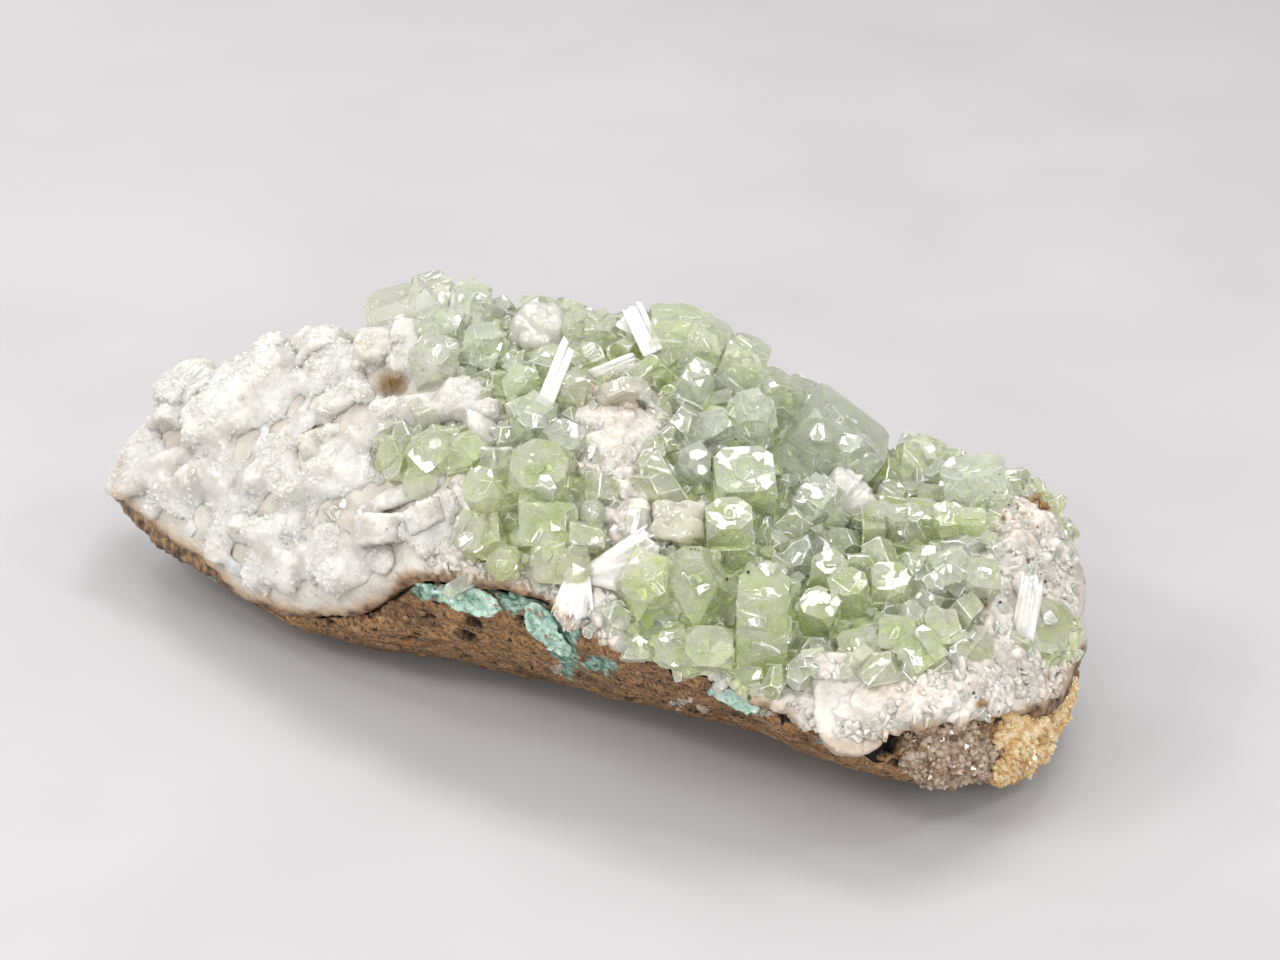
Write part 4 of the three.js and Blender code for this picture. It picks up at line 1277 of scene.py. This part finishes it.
def grown_blades(seed, count, spacing_mm, sizes_mm, accept, lying):
    rng = random.Random(seed)
    for centre, normal in scattered(seed, count, spacing_mm * MM, accept):
        size = rng.uniform(*sizes_mm) * MM
        if in_the_way(centre + normal * 0.2 * size, size, 1):
            continue
        yield (lying_blade if rng.random() < lying else standing_blade)(rng, centre, normal, size)


# The large blades of the white half, by pixel: the middle, the length and width, the slope in degrees.
SeenBlade = namedtuple("SeenBlade", "x y long wide slope")
SEEN_BLADES = [
    SeenBlade(328, 370, 74, 42, 84), SeenBlade(284, 370, 56, 38, 80), SeenBlade(374, 352, 84, 42, 80),
    SeenBlade(406, 350, 76, 36, 95), SeenBlade(345, 400, 60, 36, 30),
    SeenBlade(283, 443, 38, 22, 78), SeenBlade(268, 468, 62, 26, 33), SeenBlade(340, 454, 60, 36, 12),
    SeenBlade(336, 484, 70, 28, -17), SeenBlade(283, 527, 96, 27, 1), SeenBlade(338, 556, 76, 28, 14),
    SeenBlade(378, 547, 84, 32, -42), SeenBlade(431, 520, 70, 40, 32), SeenBlade(259, 563, 58, 28, 74),
    SeenBlade(294, 568, 60, 30, 62), SeenBlade(350, 574, 76, 34, -4), SeenBlade(138, 465, 84, 44, 66),
    SeenBlade(176, 456, 54, 20, 2), SeenBlade(190, 392, 70, 60, 40), SeenBlade(250, 385, 100, 62, 8),
    SeenBlade(420, 409, 64, 30, 4), SeenBlade(411, 493, 92, 26, 4), SeenBlade(225, 420, 90, 60, 10),
    SeenBlade(440, 545, 50, 26, 30), SeenBlade(180, 505, 50, 24, -20), SeenBlade(226, 540, 60, 30, 50),
]


# The same for the parts of the chalky plate at the rim.
PLATE_PARTS = [
    SeenBlade(816, 697, 52, 34, -28), SeenBlade(848, 708, 84, 40, -24), SeenBlade(876, 700, 50, 44, 60),
    SeenBlade(838, 684, 70, 36, -20),
]


# The same for the soft blades in the gap at the centre.
CENTRE_PARTS = [
    SeenBlade(604, 420, 62, 30, -16), SeenBlade(634, 430, 46, 34, 62), SeenBlade(606, 444, 56, 26, 24),
    SeenBlade(588, 408, 34, 22, -40), SeenBlade(622, 462, 40, 22, 50), SeenBlade(634, 512, 36, 26, 20),
]


def seen_blades(blades):
    rng = random.Random(110)
    surface = tree_of(bed.data)
    for blade in blades:
        place, normal, _, _ = surface.ray_cast(EYE, sight(blade.x, blade.y))
        slope = math.radians(blade.slope)
        level = RIGHT * math.cos(slope) + UP * math.sin(slope)
        facing = (normal + 0.25 * (EYE - place).normalized() + Vector((0, 0, 0.15))).normalized()
        mm_per_pixel = (place - EYE).dot(FORWARD) / PIXELS
        wide, long = blade.wide * mm_per_pixel, blade.long * mm_per_pixel
        yield laid(rng, place + facing * 0.1 * wide, level, facing, wide, long)


def white_left(centre, normal):
    return centre.x < WHITE_SIDE and green_share(centre, normal) < 0.3


def white_rest(centre, normal):
    return centre.x > WHITE_SIDE and green_share(centre, normal) < 0.3


def build_blades(name, growths):
    """Thick blades that have grown into each other and into the bed between them."""
    mesh = grown_shut(evenly_meshed(joined_mesh(name, growths), 0.5), 0.55, 0.55)
    mesh = uneven(mesh, 2, ((2.6, 0.22), (1.0, 0.13)))
    set_values(mesh, "shade", [clamped(0.5 + wander(v.co, 4 * MM)) for v in mesh.vertices])
    as_piece(name, sugared(name, mesh, 125, GRAINS_ON_THE_LEFT), WHITE_BLADES, "stilbite")


def sugary_sites(seed, count, spacing_mm, sizes_mm, out=0.0):
    """Shards and grains, on every open white part of the bed right of the blades."""
    rng = random.Random(seed)
    for centre, normal in scattered(seed, count, spacing_mm * MM, white_rest):
        size = rng.uniform(*sizes_mm) * MM
        if in_the_way(centre + normal * 0.3 * size, size):
            continue
        axis = tilted(rng, normal, 1.3)
        stretch = (1, rng.uniform(0.5, 1), rng.uniform(0.8, 1.6))
        foot = centre + normal * (out * MM * rng.uniform(0.4, 1.6) - 0.1 * size)
        yield stood(
            rng.choice(GRAIN_FORMS), foot, axis, rng.uniform(0, math.pi), size, rng.random(), stretch,
        )


def build_white_growth():
    left = list(seen_blades(SEEN_BLADES))
    left += grown_blades(111, 900, 5.0, (6.0, 10.0), white_left, 0.96)
    left += grown_blades(112, 900, 3.4, (2.6, 4.8), white_left, 0.9)
    build_blades("left_stilbite_growth", left)
    right = list(grown_blades(113, 300, 4.0, (2.4, 4.6), white_rest, 0.7))
    right += list(seen_blades(PLATE_PARTS + CENTRE_PARTS)) + list(sugary_sites(121, 9000, 1.0, (1.2, 2.6)))
    crust = uneven(evenly_meshed(joined_mesh("crust", right), 0.38), 0, ((1.6, 0.2), (0.8, 0.15)))
    set_values(crust, "shade", [clamped(0.5 + wander(v.co, 2 * MM)) for v in crust.vertices])
    as_piece("right_stilbite_growth", tinted(crust), SUGARY_GRAINS, "stilbite")
    grains = grown_together("grains", sugary_sites(122, 14000, 0.8, (0.6, 1.5), 0.45))
    as_piece("white_grains", tinted(grains), SUGARY_GRAINS, "stilbite")


def build_glints():
    """Tiny clear crystals in the white growth, that sparkle."""
    rng = random.Random(124)
    growths = []
    for centre, normal in scattered(124, 700, 2.0 * MM, white_rest):
        size = rng.uniform(0.8, 1.8) * MM
        if in_the_way(centre + normal * 0.3 * size, size):
            continue
        axis = tilted(rng, normal, 0.9)
        foot = centre + axis * 0.3 * MM
        growths.append(stood(
            rng.choice(CRYSTAL_FORMS), foot, axis, rng.uniform(0, math.pi), size, rng.random(),
        ))
    as_piece("sparkling_crystals", grown_together("sparkling", growths), CLEAR, "clear_apophyllite")


# Manganese specks by pixel: the middle of each group, its half width in pixels and how many there are.
Speckled = namedtuple("Speckled", "x y wide count")
SPECKLED = [
    Speckled(430, 459, 3, 1), Speckled(590, 452, 12, 9), Speckled(682, 545, 20, 7),
    Speckled(1020, 500, 34, 20), Speckled(1040, 570, 26, 10), Speckled(985, 600, 16, 7),
    Speckled(960, 690, 60, 12), Speckled(1045, 700, 26, 6), Speckled(760, 560, 60, 9),
    Speckled(388, 528, 2, 1), Speckled(845, 726, 3, 1), Speckled(700, 430, 60, 8),
]


def build_specks():
    rng = random.Random(131)
    pieces = [piece for piece in bpy.data.objects if piece.type == "MESH" and piece.name not in nodes]
    shells = [tree_of(piece.data) for piece in pieces if "finish" in piece.name or "growth" in piece.name]
    growths = []
    for group in SPECKLED:
        for _ in range(group.count):
            x, y = group.x + rng.gauss(0, 0.6) * group.wide, group.y + rng.gauss(0, 0.4) * group.wide
            hits = [shell.ray_cast(EYE, sight(x, y)) for shell in shells]
            hits = [hit for hit in hits if hit[0]]
            if not hits:
                continue
            place, normal, _, _ = min(hits, key=lambda hit: hit[3])
            size = rng.choice((0.16, 0.2, 0.26, 0.4)) * MM
            growths.append(stood(rng.choice(GRAIN_FORMS), place, normal, rng.uniform(0, 3), size))
    as_piece("manganese_specks", joined_mesh("specks", growths), SPECKS, "stilbite")


# Small faces that flash, by pixel: how large they are, how far they are turned, and which lamp they catch.
Flash = namedtuple("Flash", "x y size_mm turn lamp")
FLASHES = [
    Flash(820, 432, 3.4, 10, "key"), Flash(853, 442, 3.6, 40, "key"), Flash(938, 582, 4.0, 65, "right"),
    Flash(962, 593, 3.0, 20, "key"), Flash(847, 528, 2.2, 35, "key"), Flash(768, 570, 2.6, 80, "key"),
    Flash(634, 527, 5.0, 25, "key"), Flash(645, 394, 2.2, 5, "right"), Flash(703, 590, 2.0, 50, "right"),
    Flash(548, 485, 3.0, 0, "top"), Flash(536, 422, 2.4, 30, "key"), Flash(700, 468, 2.2, 60, "right"),
    Flash(873, 536, 2.0, 15, "right"), Flash(905, 530, 2.0, 75, "key"), Flash(800, 500, 2.4, 30, "top"),
    Flash(668, 636, 2.4, 45, "key"), Flash(1050, 618, 2.4, 20, "right"), Flash(480, 300, 2.2, 10, "top"),
    Flash(440, 352, 2.4, 70, "key"), Flash(590, 350, 2.0, 30, "key"), Flash(720, 380, 2.2, 55, "top"),
    Flash(950, 466, 2.6, 25, "top"), Flash(756, 620, 2.6, 5, "key"), Flash(500, 470, 2.0, 50, "right"),
    Flash(290, 490, 1.4, 20, "key"), Flash(193, 472, 1.8, 40, "top"), Flash(336, 512, 2.6, 65, "right"),
    Flash(344, 504, 1.6, 10, "key"), Flash(467, 541, 2.4, 30, "key"), Flash(301, 366, 1.4, 50, "key"),
    Flash(326, 412, 1.2, 15, "top"), Flash(240, 398, 1.0, 70, "key"), Flash(360, 512, 1.2, 35, "key"),
]
LAMPS = {"key": (-380, -460, 560), "right": (560, -330, 380), "top": (60, 180, 640)}


def build_flashes():
    """Crystals whose end faces mirror a lamp to the camera."""
    rng = random.Random(141)
    shells = [large_growth, tree_of(bed.data), tree_of(bpy.data.objects["left_stilbite_growth"].data)]
    growths = []
    for flash in FLASHES:
        hits = [shell.ray_cast(EYE, sight(flash.x, flash.y)) for shell in shells]
        hits = [hit for hit in hits if hit[0]]
        if not hits:
            continue
        place = min(hits, key=lambda hit: hit[3])[0]
        lamp = Vector(LAMPS[flash.lamp]) * MM
        axis = ((lamp - place).normalized() + (EYE - place).normalized()).normalized()
        size = flash.size_mm * MM
        growths.append(stood(
            rng.choice(PLATE_FORMS), place - axis * 0.72 * size, axis, math.radians(flash.turn), size,
            rng.random(), (1, rng.uniform(0.7, 1), 1),
        ))
    as_piece("flashing_crystals", grown_together("flashing", growths), CLEAR, "clear_apophyllite")


# Pale flakes of lining that are left on the rind.
FLAKES = [Patch(681, 703, 15, 6), Patch(703, 709, 6, 3), Patch(762, 713, 11, 4), Patch(558, 668, 8, 8)]
FLAKES_IN_A_PATCH = 18


def build_flakes():
    rng = random.Random(161)
    growths = []
    for patch in FLAKES:
        for _ in range(FLAKES_IN_A_PATCH):
            x = patch.x + rng.gauss(0, 0.45) * patch.wide
            y = patch.y + rng.gauss(0, 0.45) * patch.high
            place, normal, _, _ = rind_surface.ray_cast(EYE, sight(x, y))
            size = rng.uniform(0.4, 1.1) * MM
            turn, form = rng.uniform(0, math.pi), rng.choice(GRAIN_FORMS)
            axis = tilted(rng, normal, 0.4)
            growths.append(stood(form, place, axis, turn, size, rng.random(), (1, 0.6, 0.4)))
    as_piece("lining_flakes", tinted(joined_mesh("flakes", growths)), CHALKY_PLATE, "stilbite")


# The quartz druse goes on over the rind round its two main crusts.
SMOKY_DRUSE = [Patch(945, 752, 46, 34), Patch(990, 765, 30, 18)]
GOLDEN_DRUSE = [Patch(1036, 738, 40, 42), Patch(1060, 700, 20, 34)]


def build_fine_druse():
    rng = random.Random(151)
    faces = [(p.center, p.normal) for p in rind.data.polygons if p.normal.dot(EYE - p.center) > 0]
    for name, patches, material, slot in (
        ("smoky_points", SMOKY_DRUSE, GREY, "grey_druse"),
        ("golden_points", GOLDEN_DRUSE, GOLD, "golden_quartz"),
    ):
        inside = [f for f in faces if reach(patches, f[0]) + 0.3 * wander(f[0], 3 * MM) > 0]
        growths = []
        for centre, normal in rng.sample(inside, min(len(inside), POINTS_ROUND_IT)):
            size = rng.uniform(0.6, 1.4) * MM
            axis = tilted(rng, normal, 0.5)
            foot = centre - axis * 0.15 * size
            growths.append(stood(POINT, foot, axis, rng.uniform(0, 1), size, rng.random(), (1, 1, 0.8)))
        as_piece(name, joined_mesh(name, growths), material, slot)


build_small_crystals()
build_white_growth()
build_glints()
build_flashes()
build_fine_druse()
build_flakes()
build_specks()

# ---- Floor and light ------------------------------------------------------------------------------


FLOOR_REACH = 3  # how far the floor goes to each side, in metres


def build_floor():
    bm = bmesh.new()
    bmesh.ops.create_grid(bm, x_segments=1, y_segments=1, size=FLOOR_REACH)
    mesh = bpy.data.meshes.new("floor")
    bm.to_mesh(mesh)
    bm.free()
    material, shader = new_material("matt_pale_floor")
    shade = clouded(material, 60, 2, (0.3, "#a6a4a5"), (0.7, "#acaaab"))
    give(material, shader, {"Base Color": shade, "Roughness": 0.7})
    mesh.materials.append(material)
    floor = bpy.data.objects.new("floor", mesh)
    bpy.context.scene.collection.objects.link(floor)


def add_softbox(name, place_mm, width_mm, height_mm, watts):
    """A soft area light aimed at the middle of the specimen."""
    light = bpy.data.lights.new(name, "AREA")
    light.shape = "RECTANGLE"
    light.size, light.size_y = width_mm * MM, height_mm * MM
    light.energy = watts
    lamp = bpy.data.objects.new(name, light)
    lamp.location = Vector(place_mm) * MM
    lamp.rotation_euler = (TARGET - lamp.location).to_track_quat("-Z", "Y").to_euler()
    bpy.context.scene.collection.objects.link(lamp)


# Each softbox: where it stands in millimetres, its width and height, and its watts.
SOFTBOXES = {
    "key": (LAMPS["key"], 220, 180, 1.76),
    "right": (LAMPS["right"], 180, 220, 1.28),
    "top": (LAMPS["top"], 260, 160, 1.36),
    "left_back": ((-480, 240, 420), 160, 200, 0.88),
    "front": ((180, -700, 260), 240, 160, 1.5),
}
SMALL_LAMPS = [(-150, -420, 500), (250, -350, 560), (420, 60, 500), (-420, -100, 420), (100, -600, 120)]
SMALL_LAMP_MM, SMALL_LAMP_WATTS = 60, 0.4
TENT_SHADES = ((0, "#c6c6c5"), (0.8, "#ffffff"))  # from the sides of the tent up to its top
TENT_BRIGHTNESS = 0.97


def light_the_studio():
    """A tent that is brightest above, with softboxes and small lamps for the glints."""
    world = bpy.data.worlds.new("studio")
    world.use_nodes = True
    direction = add(world, "ShaderNodeTexCoord").outputs["Generated"]
    height = add(world, "ShaderNodeSeparateXYZ", {"Vector": direction}).outputs["Z"]
    tent = add(world, "ShaderNodeValToRGB", {"Fac": height}, TENT_SHADES).outputs["Color"]
    background = world.node_tree.nodes["Background"]
    give(world, background, {"Color": tent, "Strength": TENT_BRIGHTNESS})
    bpy.context.scene.world = world
    bpy.context.scene.view_settings.view_transform = "Standard"
    for name, box in SOFTBOXES.items():
        add_softbox(name, *box)
    for number, place in enumerate(SMALL_LAMPS):
        add_softbox("small_%d" % number, place, SMALL_LAMP_MM, SMALL_LAMP_MM, SMALL_LAMP_WATTS)


build_floor()
light_the_studio()
